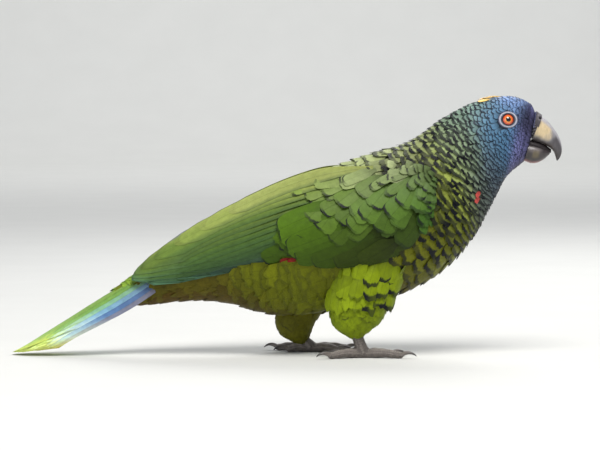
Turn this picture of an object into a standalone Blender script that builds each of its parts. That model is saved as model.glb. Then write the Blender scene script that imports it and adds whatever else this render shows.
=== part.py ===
"""A St Lucia amazon parrot standing at rest, at life size.

Frame: +X points the way the bird faces, +Y to its left, +Z up. The origin is on the floor, under the middle
of the bird's box. Sizes in the tables are millimetres, and the meshes are in metres.
"""
import math

import bpy
import bmesh
from mathutils import Matrix, Vector

MM = 0.001
GAP = 0.35                  # clearance between neighbouring pieces
SIDES = 20                  # points round a body section
STEPS = 2                   # rings for each interval between stations
SEAM = 0.012                # share of an interval left open on each side of a body seam
SMOOTH_UP_TO = math.radians(50)

# Body stations from the face to the tail coverts. Each is a slanted section through a point on the back
# line and a point on the belly line: (back x, back z), (belly x, belly z), half width, and how much wider
# the section is below its middle than above.
BODY = [
    ((189.0, 183.5), (180.5, 147.0), 9.5, 0.10),     # base of the bill
    ((183.5, 191.8), (174.5, 142.8), 15.0, 0.12),
    ((168.0, 196.8), (166.0, 134.5), 19.2, 0.13),    # eye
    ((144.4, 193.2), (159.0, 120.8), 21.2, 0.08),    # back of the head
    ((118.6, 180.6), (151.4, 106.0), 25.2, 0.02),
    ((93.5, 163.4), (142.1, 89.5), 32.8, 0.0),       # base of the neck
    ((66.1, 154.6), (125.0, 69.0), 40.6, 0.0),       # shoulders
    ((31.2, 142.8), (95.0, 49.4), 43.0, 0.0),
    ((-6.8, 127.4), (49.4, 36.5), 38.6, 0.0),
    ((-50.2, 105.2), (-5.3, 29.6), 28.6, 0.0),       # behind the thighs
    ((-90.0, 80.6), (-56.7, 40.5), 17.6, 0.0),       # vent
    ((-121.0, 58.6), (-106.5, 37.6), 10.4, 0.0),     # tips of the tail coverts
]
# The stations at which the body is parted into head, neck, trunk and tail coverts.
BODY_PARTS = {"head": (0.0, 3.2), "neck": (3.2, 5.0), "trunk": (5.0, 9.0), "tail_coverts": (9.0, 11.0)}

# The closed wing from the bend to the tip: upper edge (x, y, z), lower edge (x, y, z), outward bulge.
WING = [
    ((113.5, 33.0, 133.5), (113.0, 35.0, 111.0), 2.0),   # bend of the wing
    ((108.0, 33.0, 143.5), (105.0, 37.5, 93.0), 5.5),
    ((93.0, 27.5, 151.0), (85.0, 39.2, 77.0), 12.0),
    ((57.0, 18.0, 149.6), (41.8, 38.5, 68.8), 17.5),
    ((9.9, 11.0, 137.6), (-3.0, 32.5, 70.5), 17.5),      # tips of the great coverts
    ((-31.9, 6.5, 119.6), (-45.5, 26.5, 65.0), 13.0),
    ((-73.7, 4.0, 97.0), (-84.0, 21.0, 57.2), 8.0),
    ((-105.0, 3.4, 75.8), (-110.0, 17.5, 54.8), 4.0),
    ((-117.5, 3.4, 65.6), (-121.5, 15.0, 54.0), 2.0),    # wing tip
]
COVERTS_END = 4.0           # station where the coverts stop and the flight feathers show
PRIMARIES_FROM = 0.62       # share of the wing's depth above which the secondaries lie
ACROSS = [0.0, 0.05, 0.14, 0.28, 0.45, PRIMARIES_FROM, 0.77, 0.9, 0.96, 1.0]
COVERTS_THICK = 5.0
FLIGHTS_THICK = 3.0
WING_SEAM = 0.02            # share of an interval left open behind the coverts
WING_SPLIT = 0.008          # share of the depth left open on each side of the lowest secondary
SEAT_RIM = 0.6              # how far a wing's seat reaches past its edges
SEAT_OUT = 9.0              # how far it reaches outwards, past the body's side

# The tail's middle line from its root to its tip: (x, z), half width, depth of its arched section.
TAIL = [
    ((-62.0, 88.5), 9.0, 11.0),
    ((-92.0, 72.0), 12.0, 15.0),
    ((-121.6, 55.2), 15.0, 17.0),
    ((-148.0, 39.0), 17.0, 14.5),
    ((-166.0, 27.6), 17.5, 12.0),
    ((-184.0, 16.4), 16.5, 9.0),
    ((-198.0, 7.6), 13.0, 4.8),
    ((-209.0, 1.8), 6.5, 1.4),
]
TAIL_THICK = 2.6
TAIL_ARCH = math.radians(82)        # the outer edge of the arch, from the middle line
TAIL_CENTRE = math.radians(26)      # the arch's share that the middle feathers cover

# Upper and lower bill: top (x, z), bottom (x, z), half width.
UPPER_BILL = [
    ((194.2, 180.6), (187.2, 162.6), 9.4),
    ((197.8, 177.6), (191.4, 161.2), 9.2),
    ((202.0, 172.8), (195.9, 159.4), 8.2),
    ((205.6, 167.4), (199.2, 157.8), 6.8),
    ((207.9, 161.4), (201.4, 155.8), 5.0),
    ((208.6, 155.2), (203.0, 153.2), 3.4),
    ((207.6, 150.8), (203.9, 150.6), 1.9),
    ((205.3, 147.6), (204.6, 148.2), 0.5),
]
CERE = [((190.2, 184.8), (185.0, 163.4), 9.6), ((193.4, 182.6), (186.6, 162.6), 10.4)]
LOWER_BILL = [
    ((184.6, 160.8), (181.2, 147.2), 8.6),
    ((188.4, 160.0), (185.4, 145.8), 8.8),
    ((192.6, 158.6), (190.6, 146.4), 7.8),
    ((196.2, 156.8), (195.6, 149.2), 6.0),
    ((199.4, 155.0), (199.2, 152.6), 3.2),
]

EYE_X, EYE_Z = 167.7, 179.6
EYE_RADIUS = 6.0
EYE_DEPTH = 4.2             # from the skin in to the eyeball's middle
LID = (7.2, 6.6, 1.2)       # half sizes of the bare ring round the eye

# Feathered thighs, from inside the belly down: (x, y, z), half length fore and aft, half width.
NEAR_THIGH = [
    ((62.0, -23.0, 66.0), 19.0, 12.0),
    ((58.0, -25.0, 52.0), 22.5, 15.0),
    ((54.0, -25.5, 38.0), 22.5, 15.5),
    ((52.5, -25.5, 28.0), 19.5, 13.5),
    ((51.0, -25.0, 21.5), 14.0, 10.5),
    ((51.5, -25.0, 17.0), 7.5, 7.0),
]
FAR_THIGH = [
    ((26.0, 22.0, 58.0), 20.0, 12.0),
    ((18.0, 23.5, 44.0), 20.0, 14.5),
    ((10.0, 24.0, 32.0), 18.5, 14.5),
    ((6.0, 24.0, 21.0), 15.0, 12.5),
    ((6.5, 24.0, 13.0), 11.5, 10.0),
    ((9.0, 24.0, 9.2), 7.5, 7.0),
]
SHANK_RADIUS = 4.4
PAD_RADIUS = 5.2
# Toes: name, angle from straight ahead and outwards in degrees, length of the fleshy part.
TOES = [("inner_front", -16, 23.0), ("outer_front", 14, 30.0), ("outer_back", 155, 27.0),
        ("inner_back", 196, 17.0)]
TOE_ROOT, TOE_TIP = 3.7, 2.7        # radii
CLAW_LENGTH, CLAW_RADIUS = 11.0, 2.0
FEET = {"right": (57.0, -25.0), "left": (17.0, 24.0)}


def colour(name, rgb, roughness):
    """A plain Principled material."""
    material = bpy.data.materials.new(name)
    material.use_nodes = True
    shader = material.node_tree.nodes["Principled BSDF"]
    shader.inputs["Base Color"].default_value = (*rgb, 1.0)
    shader.inputs["Roughness"].default_value = roughness
    return material


def blend_rows(rows, at):
    """Catmull-Rom value of a table of number lists at a fractional row."""
    at = min(max(at, 0.0), len(rows) - 1.0)
    i = min(int(at), len(rows) - 2)
    t = at - i
    before, after = rows[max(i - 1, 0)], rows[min(i + 2, len(rows) - 1)]
    found = []
    for a, b, c, d in zip(before, rows[i], rows[i + 1], after):
        found.append(0.5 * (2 * b + (c - a) * t + (2 * a - 5 * b + 4 * c - d) * t ** 2
                            + (3 * b - a - 3 * c + d) * t ** 3))
    return found


def flat(row):
    """A station's nested numbers as one list."""
    return [n for item in row for n in (item if isinstance(item, tuple) else (item,))]


def body_ring(at, grow=0.0, sides=SIDES):
    """Points of the body's section at a fractional station, top first, round by the left side."""
    tx, tz, bx, bz, width, egg = blend_rows([flat(r) for r in BODY], at)
    middle = Vector(((tx + bx) / 2, 0, (tz + bz) / 2))
    up = Vector(((tx - bx) / 2, 0, (tz - bz) / 2))
    up += up.normalized() * grow
    ring = []
    for k in range(sides):
        a = 2 * math.pi * k / sides
        side = (width + grow) * math.sin(a) * (1 - egg * math.cos(a))
        ring.append(middle + up * math.cos(a) + Vector((0, side, 0)))
    return ring


def pair_ring(row, sides, grow=0.0):
    """An elliptic section between a top point and a bottom point."""
    tx, tz, bx, bz, width = row[:5]
    middle = Vector(((tx + bx) / 2, 0, (tz + bz) / 2))
    up = Vector(((tx - bx) / 2, 0, (tz - bz) / 2))
    up += up.normalized() * grow
    return [middle + up * math.cos(a) + Vector((0, (width + grow) * math.sin(a), 0))
            for a in (2 * math.pi * k / sides for k in range(sides))]


def add_object(name, bm, material, collection):
    """Puts a closed bmesh, in millimetres, in the scene as an object in metres."""
    bmesh.ops.recalc_face_normals(bm, faces=bm.faces)
    if bm.calc_volume(signed=True) < 0:
        bmesh.ops.reverse_faces(bm, faces=bm.faces)
    bmesh.ops.scale(bm, vec=(MM, MM, MM), verts=bm.verts)
    mesh = bpy.data.meshes.new(name)
    bm.to_mesh(mesh)
    bm.free()
    mesh.materials.append(material)
    mesh.shade_smooth()
    mesh.set_sharp_from_angle(angle=SMOOTH_UP_TO)
    obj = bpy.data.objects.new(name, mesh)
    collection.objects.link(obj)
    if collection is CUTTERS:
        obj.hide_render = True
        obj.display_type = "WIRE"
    return obj


def loft(name, rings, material, collection):
    """A closed skin over a list of rings with equal counts, with flat ends."""
    bm = bmesh.new()
    rows = [[bm.verts.new(p) for p in ring] for ring in rings]
    count = len(rows[0])
    for a, b in zip(rows, rows[1:]):
        for k in range(count):
            bm.faces.new((a[k], a[(k + 1) % count], b[(k + 1) % count], b[k]))
    bm.faces.new(rows[0])
    bm.faces.new(rows[-1])
    return add_object(name, bm, material, collection)


def slab(name, outer, inner, material, collection):
    """A closed plate between two equal grids of points."""
    bm = bmesh.new()
    sheets = [[[bm.verts.new(p) for p in row] for row in grid] for grid in (outer, inner)]
    rows, columns = len(outer), len(outer[0])
    for grid in sheets:
        for i in range(rows - 1):
            for j in range(columns - 1):
                bm.faces.new((grid[i][j], grid[i][j + 1], grid[i + 1][j + 1], grid[i + 1][j]))
    edge = [(0, j) for j in range(columns)] + [(i, columns - 1) for i in range(1, rows)]
    edge += [(rows - 1, j) for j in range(columns - 2, -1, -1)] + [(i, 0) for i in range(rows - 2, 0, -1)]
    top, bottom = sheets
    for (i, j), (k, m) in zip(edge, edge[1:] + edge[:1]):
        bm.faces.new((top[i][j], top[k][m], bottom[k][m], bottom[i][j]))
    return add_object(name, bm, material, collection)


def cut(obj, cutter):
    """Takes a cutter's shape out of an object."""
    change = obj.modifiers.new("cut_" + cutter.name, "BOOLEAN")
    change.operation = "DIFFERENCE"
    change.object = cutter


def wing_place(at, across):
    """A point of the right wing's outer face. Past the two ends the face goes straight on."""
    last = len(WING) - 1.0
    inside = min(max(at, 0.0), last)
    ux, uy, uz, lx, ly, lz, bulge = blend_rows([flat(r) for r in WING], inside)
    swell = math.sin(math.pi * across) ** 0.75 if 0.0 < across < 1.0 else 0.0
    side = uy + (ly - uy) * across + bulge * swell
    point = Vector((ux + (lx - ux) * across, -side, uz + (lz - uz) * across))
    if at != inside:
        near = 0.05 if at < 0 else last - 0.05
        point += (point - wing_place(near, across)) * abs(at - inside) / 0.05
    return point


def wing_grids(ats, shares, thick, rim=0.0, out=0.0):
    """Outer and inner grids of a stretch of the right wing, which thins towards its edges.

    A rim in millimetres adds a border along the upper and lower edges.
    """
    outer, inner = [], []
    for at in ats:
        outer.append([])
        inner.append([])
        borders = [(0.0, -rim)] * bool(rim) + [(v, 0.0) for v in shares] + [(1.0, rim)] * bool(rim)
        for v, beyond in borders:
            down = (wing_place(at, min(v + 0.02, 1.0)) - wing_place(at, max(v - 0.02, 0.0))).normalized()
            along = wing_place(at + 0.02, v) - wing_place(at - 0.02, v)
            normal = along.cross(down).normalized()
            normal = -normal if normal.y > 0 else normal
            edge = math.sin(math.pi * min(max(v, 0.06), 0.94)) ** 0.4
            point = wing_place(at, v) + down * beyond
            outer[-1].append(point + normal * out)
            inner[-1].append(point - normal * (thick * edge + (GAP if rim else 0.0)))
    return outer, inner


def mirrored(grids):
    """The same grids on the bird's left."""
    return [[[Vector((p.x, -p.y, p.z)) for p in row] for row in grid] for grid in grids]


def make_wings(material):
    """Coverts, secondaries and primaries of each closed wing, and the cutters that seat them in the body."""
    last = len(WING) - 1.0
    front = [i / 2 for i in range(int(2 * COVERTS_END))]
    rear = [COVERTS_END + i / 2 for i in range(1, int(2 * (last - COVERTS_END)) + 1)]
    flights = [COVERTS_END + WING_SEAM] + rear
    upper = [v for v in ACROSS if v < PRIMARIES_FROM] + [PRIMARIES_FROM - WING_SPLIT]
    lower = [PRIMARIES_FROM + WING_SPLIT] + [v for v in ACROSS if v > PRIMARIES_FROM]
    plates = {
        "wing_coverts": (front + [COVERTS_END - WING_SEAM], ACROSS, COVERTS_THICK),
        "secondaries": (flights, upper, FLIGHTS_THICK),
        "primaries": (flights, lower, FLIGHTS_THICK),
    }
    for name, (ats, shares, thick) in plates.items():
        grids = wing_grids(ats, shares, thick)
        for side, placed in (("right", grids), ("left", mirrored(grids))):
            slab(name + "_" + side, *placed, material, PARTS)
    seats = {"right": [], "left": []}
    for ats, thick in (([-0.1] + front + [COVERTS_END + WING_SEAM], COVERTS_THICK),
                       ([COVERTS_END] + rear + [last + 0.08], FLIGHTS_THICK)):
        grids = wing_grids(ats, ACROSS, thick, rim=SEAT_RIM, out=SEAT_OUT)
        seats["right"].append(slab("wing_seat_right", *grids, material, CUTTERS))
        seats["left"].append(slab("wing_seat_left", *mirrored(grids), material, CUTTERS))
    return seats


def tail_grids(angles, thick, out=0.0, rows=10, columns=5):
    """Outer and inner grids of a stretch of the tail's arch between two angles from its middle line."""
    table = [flat(r) for r in TAIL]
    outer, inner = [], []
    for i in range(rows + 1):
        at = (len(TAIL) - 1) * i / rows
        x, z, half, depth = blend_rows(table, at)
        x1, z1 = blend_rows(table, min(at + 0.05, len(TAIL) - 1))[:2]
        x0, z0 = blend_rows(table, max(at - 0.05, 0))[:2]
        along = Vector((x1 - x0, 0, z1 - z0)).normalized()
        up = Vector((-along.z, 0, along.x))
        up = up if up.z > 0 else -up
        outer.append([])
        inner.append([])
        for j in range(columns + 1):
            a = angles[0] + (angles[1] - angles[0]) * j / columns
            spread = Vector((0, half * math.sin(a), 0)) - up * depth * (1 - math.cos(a))
            normal = (up * math.cos(a) + Vector((0, math.sin(a), 0))).normalized()
            outer[-1].append(Vector((x, 0, z)) + spread + normal * out)
            inner[-1].append(Vector((x, 0, z)) + spread - normal * (thick + out))
    return outer, inner


def make_tail(material, floor_cutter):
    """Middle, right and left tail feathers as three arched plates that rest on the floor at the tip."""
    seam = math.radians(1.6)
    spans = {
        "tail_middle": (-TAIL_CENTRE, TAIL_CENTRE),
        "tail_left": (TAIL_CENTRE + seam, TAIL_ARCH),
        "tail_right": (-TAIL_ARCH, -TAIL_CENTRE - seam),
    }
    for name, angles in spans.items():
        cut(slab(name, *tail_grids(angles, TAIL_THICK), material, PARTS), floor_cutter)
    reach = TAIL_ARCH + seam
    return slab("tail_seat", *tail_grids((-reach, reach), TAIL_THICK, out=GAP, columns=14), material, CUTTERS)


def make_bill(horn, skin):
    """Upper bill, lower bill and the cere over the upper bill's root."""
    pieces = (("upper_bill", UPPER_BILL, horn, 2), ("lower_bill", LOWER_BILL, horn, 2), ("cere", CERE, skin, 1))
    for name, table, material, fine in pieces:
        rows = [flat(r) for r in table]
        count = fine * (len(rows) - 1)
        rings = [pair_ring(blend_rows(rows, i / fine), 16) for i in range(count + 1)]
        loft(name, rings, material, PARTS)


def eye_frame(side):
    """The turn that points +Z out of the head at the eye, and the skin's point there, in millimetres."""
    best = min((body_ring(at / 20, sides=120)[k] for at in range(20, 60) for k in range(1, 60)),
               key=lambda p: (p.x - EYE_X) ** 2 + (p.z - EYE_Z) ** 2)
    skin = Vector((best.x, side * best.y, best.z))
    outward = Vector((0.10, side * 1.0, 0.26)).normalized()
    return outward.to_track_quat("Z", "Y").to_matrix().to_4x4(), skin, outward


def add_ball(name, place, radius, material, collection):
    """A sphere in millimetres, placed by a matrix."""
    bm = bmesh.new()
    bmesh.ops.create_uvsphere(bm, u_segments=16, v_segments=8, radius=radius)
    bmesh.ops.transform(bm, matrix=place, verts=bm.verts)
    return add_object(name, bm, material, collection)


def make_eyes(head, eye_material, lid_material):
    """Eyeballs in their sockets, each inside a low oval ring of bare skin."""
    for name, side in (("right", -1), ("left", 1)):
        turn, skin, outward = eye_frame(side)
        middle = skin - outward * EYE_DEPTH
        add_ball("eye_" + name, Matrix.Translation(middle), EYE_RADIUS, eye_material, PARTS)
        socket = add_ball("socket_" + name, Matrix.Translation(middle), EYE_RADIUS + GAP, eye_material, CUTTERS)
        place = Matrix.Translation(skin) @ turn
        ring = add_ball("eye_ring_" + name, place @ Matrix.Diagonal((*LID, 1.0)), 1.0, lid_material, PARTS)
        room = [radius + GAP for radius in LID]
        groove = add_ball("groove_" + name, place @ Matrix.Diagonal((*room, 1.0)), 1.0, lid_material, CUTTERS)
        cut(ring, socket)
        cut(head, socket)
        cut(head, groove)


def thigh_rings(table, grow=0.0, fine=2, sides=14):
    """Level elliptic rings down a thigh."""
    rows = [flat(r) for r in table]
    rings = []
    for i in range(fine * (len(rows) - 1) + 1):
        x, y, z, long, wide = blend_rows(rows, i / fine)
        rings.append([Vector((x + (long + grow) * math.cos(a), y + (wide + grow) * math.sin(a), z))
                      for a in (2 * math.pi * k / sides for k in range(sides))])
    if grow:
        rings[-1] = [p - Vector((0, 0, grow)) for p in rings[-1]]
    return rings


def tube(name, path, radii, material, collection, sides=10):
    """A closed tube of changing radius along points in millimetres."""
    rings = []
    for i, point in enumerate(path):
        along = (path[min(i + 1, len(path) - 1)] - path[max(i - 1, 0)]).normalized()
        side = along.cross(Vector((0, 0, 1)))
        side = side.normalized() if side.length > 0.2 else Vector((0, 1, 0))
        up = side.cross(along)
        rings.append([point + (side * math.cos(a) + up * math.sin(a)) * radii[i]
                      for a in (2 * math.pi * k / sides for k in range(sides))])
    return loft(name, rings, material, collection)


def join(obj, other):
    """Unites another object with this one and hides the other."""
    change = obj.modifiers.new("join_" + other.name, "BOOLEAN")
    change.operation = "UNION"
    change.object = other


def make_foot(name, thigh_end, thigh_seat, horn, scale_skin, floor_cutter):
    """Shank, sole and four toes as one piece, two toes ahead and two behind, and a claw on each toe."""
    x, y = FEET[name]
    outward = -1 if name == "right" else 1
    pad_height = PAD_RADIUS - 0.8
    pad = Vector((x, y, pad_height))
    top = Vector(thigh_end) + Vector((0, 0, 2.5))
    path = [top + (pad - top) * t for t in (0.0, 0.35, 0.7, 1.0)]
    foot = tube("foot_" + name, path, [SHANK_RADIUS, SHANK_RADIUS * 0.94, SHANK_RADIUS, PAD_RADIUS],
                scale_skin, PARTS)
    join(foot, add_ball("pad_" + name, Matrix.Translation(pad), PAD_RADIUS, scale_skin, CUTTERS))
    for toe, angle, length in TOES:
        a = math.radians(angle) * outward
        ahead = Vector((math.cos(a), math.sin(a), 0))
        points, radii = [], []
        knuckles = 4
        for i in range(knuckles + 1):
            t = i / knuckles
            radius = TOE_ROOT + (TOE_TIP - TOE_ROOT) * t
            height = radius - 0.5 + 1.1 * math.sin(math.pi * t) ** 2
            points.append(Vector((x, y, 0)) + ahead * (1.5 + length * t) + Vector((0, 0, height)))
            radii.append(radius * (0.62 if i == knuckles else 1.0))
        join(foot, tube("toe_" + toe + "_" + name, points, radii, scale_skin, CUTTERS))
        start = points[-1] + ahead * GAP * 1.6 + Vector((0, 0, 0.4))
        claw_path, claw_radii = [start, start + ahead * 0.8], [CLAW_RADIUS, CLAW_RADIUS]
        steps = 5
        for i in range(1, steps + 1):
            t = i / steps
            bend = math.radians(36 - 82 * t)
            step = CLAW_LENGTH / steps
            claw_path.append(claw_path[-1] + (ahead * math.cos(bend) + Vector((0, 0, math.sin(bend)))) * step)
            claw_radii.append(CLAW_RADIUS * (1 - t) ** 0.8 + 0.3)
        tube("claw_" + toe + "_" + name, claw_path, claw_radii, horn, PARTS, sides=7)
    cut(foot, thigh_seat)
    cut(foot, floor_cutter)


def make_floor_cutter(material):
    """A block under the floor, which leaves small flats at one level."""
    bm = bmesh.new()
    bmesh.ops.create_cube(bm, size=1.0)
    bmesh.ops.scale(bm, vec=(600, 200, 40), verts=bm.verts)
    bmesh.ops.translate(bm, vec=(0, 0, -20), verts=bm.verts)
    return add_object("floor_cutter", bm, material, CUTTERS)


def new_collection(name):
    collection = bpy.data.collections.new(name)
    bpy.context.scene.collection.children.link(collection)
    return collection


def make_body(feathers):
    """Head, neck, trunk and tail coverts, as lengths of one lofted form parted by thin seams."""
    body = {}
    for name, (start, end) in BODY_PARTS.items():
        first = start if start == 0.0 else start + SEAM
        last = end if end == len(BODY) - 1 else end - SEAM
        count = max(2, round((last - first) * STEPS))
        rings = [body_ring(first + (last - first) * i / count) for i in range(count + 1)]
        body[name] = loft(name, rings, feathers[name], PARTS)
    return body


def make_legs(body, wing_seats, feather, horn, scale_skin, floor_cutter):
    """Feathered thighs seated in the belly, with the feet under them."""
    for side, table in (("right", NEAR_THIGH), ("left", FAR_THIGH)):
        thigh = loft("thigh_" + side, thigh_rings(table), feather, PARTS)
        cut(thigh, wing_seats[side][0])
        seat = loft("thigh_seat_" + side, thigh_rings(table, grow=GAP), feather, CUTTERS)
        cut(body["trunk"], seat)
        cut(body["tail_coverts"], seat)
        make_foot(side, table[-1][0], seat, horn, scale_skin, floor_cutter)


def build():
    """Makes every piece of the bird."""
    feathers = {
        "head": colour("blue_feathers", (0.10, 0.20, 0.42), 0.7),
        "neck": colour("neck_feathers", (0.20, 0.32, 0.10), 0.7),
        "trunk": colour("green_feathers", (0.25, 0.34, 0.03), 0.7),
        "tail_coverts": colour("tail_covert_feathers", (0.32, 0.30, 0.03), 0.7),
    }
    horn = colour("horn", (0.20, 0.20, 0.19), 0.4)
    bare_skin = colour("bare_skin", (0.16, 0.16, 0.17), 0.6)
    scale_skin = colour("scaly_skin", (0.30, 0.29, 0.28), 0.7)
    floor_cutter = make_floor_cutter(scale_skin)
    tail_seat = make_tail(colour("tail_feathers", (0.30, 0.42, 0.10), 0.6), floor_cutter)
    wing_seats = make_wings(colour("wing_feathers", (0.12, 0.28, 0.04), 0.6))
    body = make_body(feathers)
    make_eyes(body["head"], colour("eye", (0.80, 0.20, 0.03), 0.1), bare_skin)
    make_bill(horn, bare_skin)
    make_legs(body, wing_seats, feathers["trunk"], horn, scale_skin, floor_cutter)
    for name in ("neck", "trunk", "tail_coverts"):
        for seat in wing_seats["right"] + wing_seats["left"]:
            cut(body[name], seat)
    for name in ("trunk", "tail_coverts"):
        cut(body[name], tail_seat)


for old in list(bpy.data.objects):
    bpy.data.objects.remove(old)
PARTS = new_collection("amazon_parrot")
CUTTERS = new_collection("cutters")
build()
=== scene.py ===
"""The looks of a life-size St Lucia amazon parrot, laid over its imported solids.

Tables are millimetres in the model's frame: +X is the way the bird faces, +Y its left and +Z up.
Meshes are made in metres.
"""
import math

import bpy
import numpy as np
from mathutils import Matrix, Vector
from mathutils.kdtree import KDTree


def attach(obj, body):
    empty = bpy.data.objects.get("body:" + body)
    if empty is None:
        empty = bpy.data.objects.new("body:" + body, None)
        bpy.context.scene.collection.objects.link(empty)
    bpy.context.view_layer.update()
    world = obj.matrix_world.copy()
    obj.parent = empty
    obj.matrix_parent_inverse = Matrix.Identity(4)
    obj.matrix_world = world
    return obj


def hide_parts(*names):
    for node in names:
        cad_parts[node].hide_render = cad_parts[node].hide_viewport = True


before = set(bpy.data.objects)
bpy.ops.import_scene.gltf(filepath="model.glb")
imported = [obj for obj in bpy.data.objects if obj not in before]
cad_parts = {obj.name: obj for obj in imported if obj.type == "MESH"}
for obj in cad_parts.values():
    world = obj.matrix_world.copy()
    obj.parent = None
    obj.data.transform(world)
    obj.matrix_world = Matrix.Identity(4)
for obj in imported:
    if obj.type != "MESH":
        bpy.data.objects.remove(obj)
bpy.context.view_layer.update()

MM = 0.001
rng = np.random.default_rng(11)
DEG = math.pi / 180

# Body stations from the face to the tail coverts: back x, back z, belly x, belly z, half width, and how much
# narrower the back is than the belly.
BODY = np.array([
    (189.0, 183.5, 180.5, 147.0, 9.5, 0.10),     # base of the bill
    (183.5, 191.8, 174.5, 142.8, 15.0, 0.12),
    (168.0, 196.8, 166.0, 134.5, 19.2, 0.13),    # eye
    (144.4, 193.2, 159.0, 120.8, 21.2, 0.08),    # back of the head
    (118.6, 180.6, 151.4, 106.0, 25.2, 0.02),
    (93.5, 163.4, 142.1, 89.5, 32.8, 0.0),       # base of the neck
    (66.1, 154.6, 125.0, 69.0, 40.6, 0.0),       # shoulders
    (31.2, 142.8, 95.0, 49.4, 43.0, 0.0),
    (-6.8, 127.4, 49.4, 36.5, 38.6, 0.0),
    (-50.2, 105.2, -5.3, 29.6, 28.6, 0.0),       # behind the thighs
    (-90.0, 80.6, -56.7, 40.5, 17.6, 0.0),       # vent
    (-121.0, 58.6, -106.5, 37.6, 10.4, 0.0),     # tips of the tail coverts
])
# Feather coat at each body station: depth over the skin, space between rows, space along a row.
COAT = np.array([
    (0.7, 1.5, 2.0), (0.9, 1.9, 2.7), (1.0, 2.1, 3.4), (1.5, 2.6, 5.4), (2.0, 3.7, 9.0), (2.6, 5.0, 11.5),
    (3.2, 7.4, 12.5), (3.6, 8.8, 13.0), (3.6, 9.0, 12.5), (3.4, 9.0, 12), (3.0, 9.0, 10.5), (2.4, 8, 9.5),
])

# The closed wing from the bend to the tip: upper edge x, y, z, lower edge x, y, z, outward bulge.
WING = np.array([
    (113.5, 33.0, 133.5, 113.0, 35.0, 111.0, 2.0),
    (108.0, 33.0, 143.5, 105.0, 37.5, 93.0, 5.5),
    (93.0, 27.5, 151.0, 85.0, 39.2, 77.0, 12.0),
    (57.0, 18.0, 149.6, 41.8, 38.5, 68.8, 17.5),
    (9.9, 11.0, 137.6, -3.0, 32.5, 70.5, 17.5),
    (-31.9, 6.5, 119.6, -45.5, 26.5, 65.0, 13.0),
    (-73.7, 4.0, 97.0, -84.0, 21.0, 57.2, 8.0),
    (-105.0, 3.4, 75.8, -110.0, 17.5, 54.8, 4.0),
    (-117.5, 3.4, 65.6, -121.5, 15.0, 54.0, 2.0),
])

# The tail's middle line from root to tip: x, z, half width, depth of its arched section.
TAIL = np.array([
    (-62.0, 88.5, 9.0, 11.0), (-92.0, 72.0, 12.0, 15.0), (-121.6, 55.2, 15.0, 17.0),
    (-148.0, 39.0, 17.0, 14.5), (-166.0, 27.6, 17.5, 12.0), (-184.0, 16.4, 16.5, 9.0),
    (-198.0, 7.6, 13.0, 4.8), (-209.0, 1.8, 6.5, 1.4),
])

# Bill and cere: top x, z, bottom x, z, half width.
UPPER_BILL = np.array([
    (194.2, 180.6, 187.2, 162.6, 9.4), (197.8, 177.6, 191.4, 161.2, 9.2), (202.0, 172.8, 195.9, 159.4, 8.2),
    (205.6, 167.4, 199.2, 157.8, 6.8), (207.9, 161.4, 201.4, 155.8, 5.0), (208.6, 155.2, 203.0, 153.2, 3.4),
    (207.6, 150.8, 203.9, 150.6, 1.9), (205.3, 147.6, 204.6, 148.2, 0.5),
])
LOWER_BILL = np.array([
    (184.6, 160.8, 181.2, 147.2, 8.6), (188.4, 160.0, 185.4, 145.8, 8.8), (192.6, 158.6, 190.6, 146.4, 7.8),
    (196.2, 156.8, 195.6, 149.2, 6.0), (199.4, 155.0, 199.2, 152.6, 3.2),
])
CERE = np.array([(190.2, 184.8, 185.0, 163.4, 9.6), (193.4, 182.6, 186.6, 162.6, 10.4)])
NOSTRIL = (191.6, 6.9, 179.6)
TONGUE = np.array([
    (180.0, 164.5, 180.0, 157.0, 6.6), (188.0, 163.0, 188.0, 156.0, 7.0), (193.5, 161.6, 193.5, 154.0, 6.2),
    (197.6, 158.6, 197.6, 153.6, 4.4), (200.4, 156.6, 200.2, 153.6, 2.6),
])

EYE_MIDDLE = (166.3, 12.05, 178.0)
EYE_OUT = (0.10, 1.0, 0.26)
EYE_RADIUS = 6.0
LID_REACH = 6.5             # bare skin round the eye ends and feathers start
EYE_DEPTH = 4.2             # from the skin in to the eyeball's middle
PUPIL, IRIS = 1.85, 4.1     # radii
# The bare ring's section, closed on itself: distance from the eye's axis, height over the head.
EYE_RING = np.array([
    (4.1, 0.10), (4.15, 0.50), (4.5, 0.78), (5.0, 0.74), (5.5, 0.86), (6.0, 0.88), (6.5, 0.66), (7.0, 0.15),
    (7.3, -0.5), (7.0, -1.3), (5.9, -1.7), (4.9, -1.6), (4.2, -0.9),
])

# Thighs from inside the belly down: x, y, z, half length, half width.
RIGHT_THIGH = np.array([
    (62.0, -23.0, 66.0, 19.0, 12.0), (58.0, -25.0, 52.0, 22.5, 15.0), (54.0, -25.5, 38.0, 22.5, 15.5),
    (52.5, -25.5, 28.0, 19.5, 13.5), (51.0, -25.0, 21.5, 14.0, 10.5), (51.5, -25.0, 17.0, 7.5, 7.0),
])
LEFT_THIGH = np.array([
    (26.0, 22.0, 58.0, 20.0, 12.0), (18.0, 23.5, 44.0, 20.0, 14.5), (10.0, 24.0, 32.0, 18.5, 14.5),
    (6.0, 24.0, 21.0, 15.0, 12.5), (6.5, 24.0, 13.0, 11.5, 10.0), (9.0, 24.0, 9.2, 7.5, 7.0),
])
THIGHS = {"right": RIGHT_THIGH, "left": LEFT_THIGH}
FEET = {"right": (57.0, -25.0), "left": (17.0, 24.0)}       # middle of each foot: x, y
SIDE = {"right": -1, "left": 1}                             # sign of y
SHANK_RADIUS = 4.4
PAD_RADIUS = 5.2
PAD_MIDDLE = PAD_RADIUS - 0.8                               # height of the foot pad's middle
FOOT_REACH = 48.0                                           # holds a foot with its toes and claws
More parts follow.
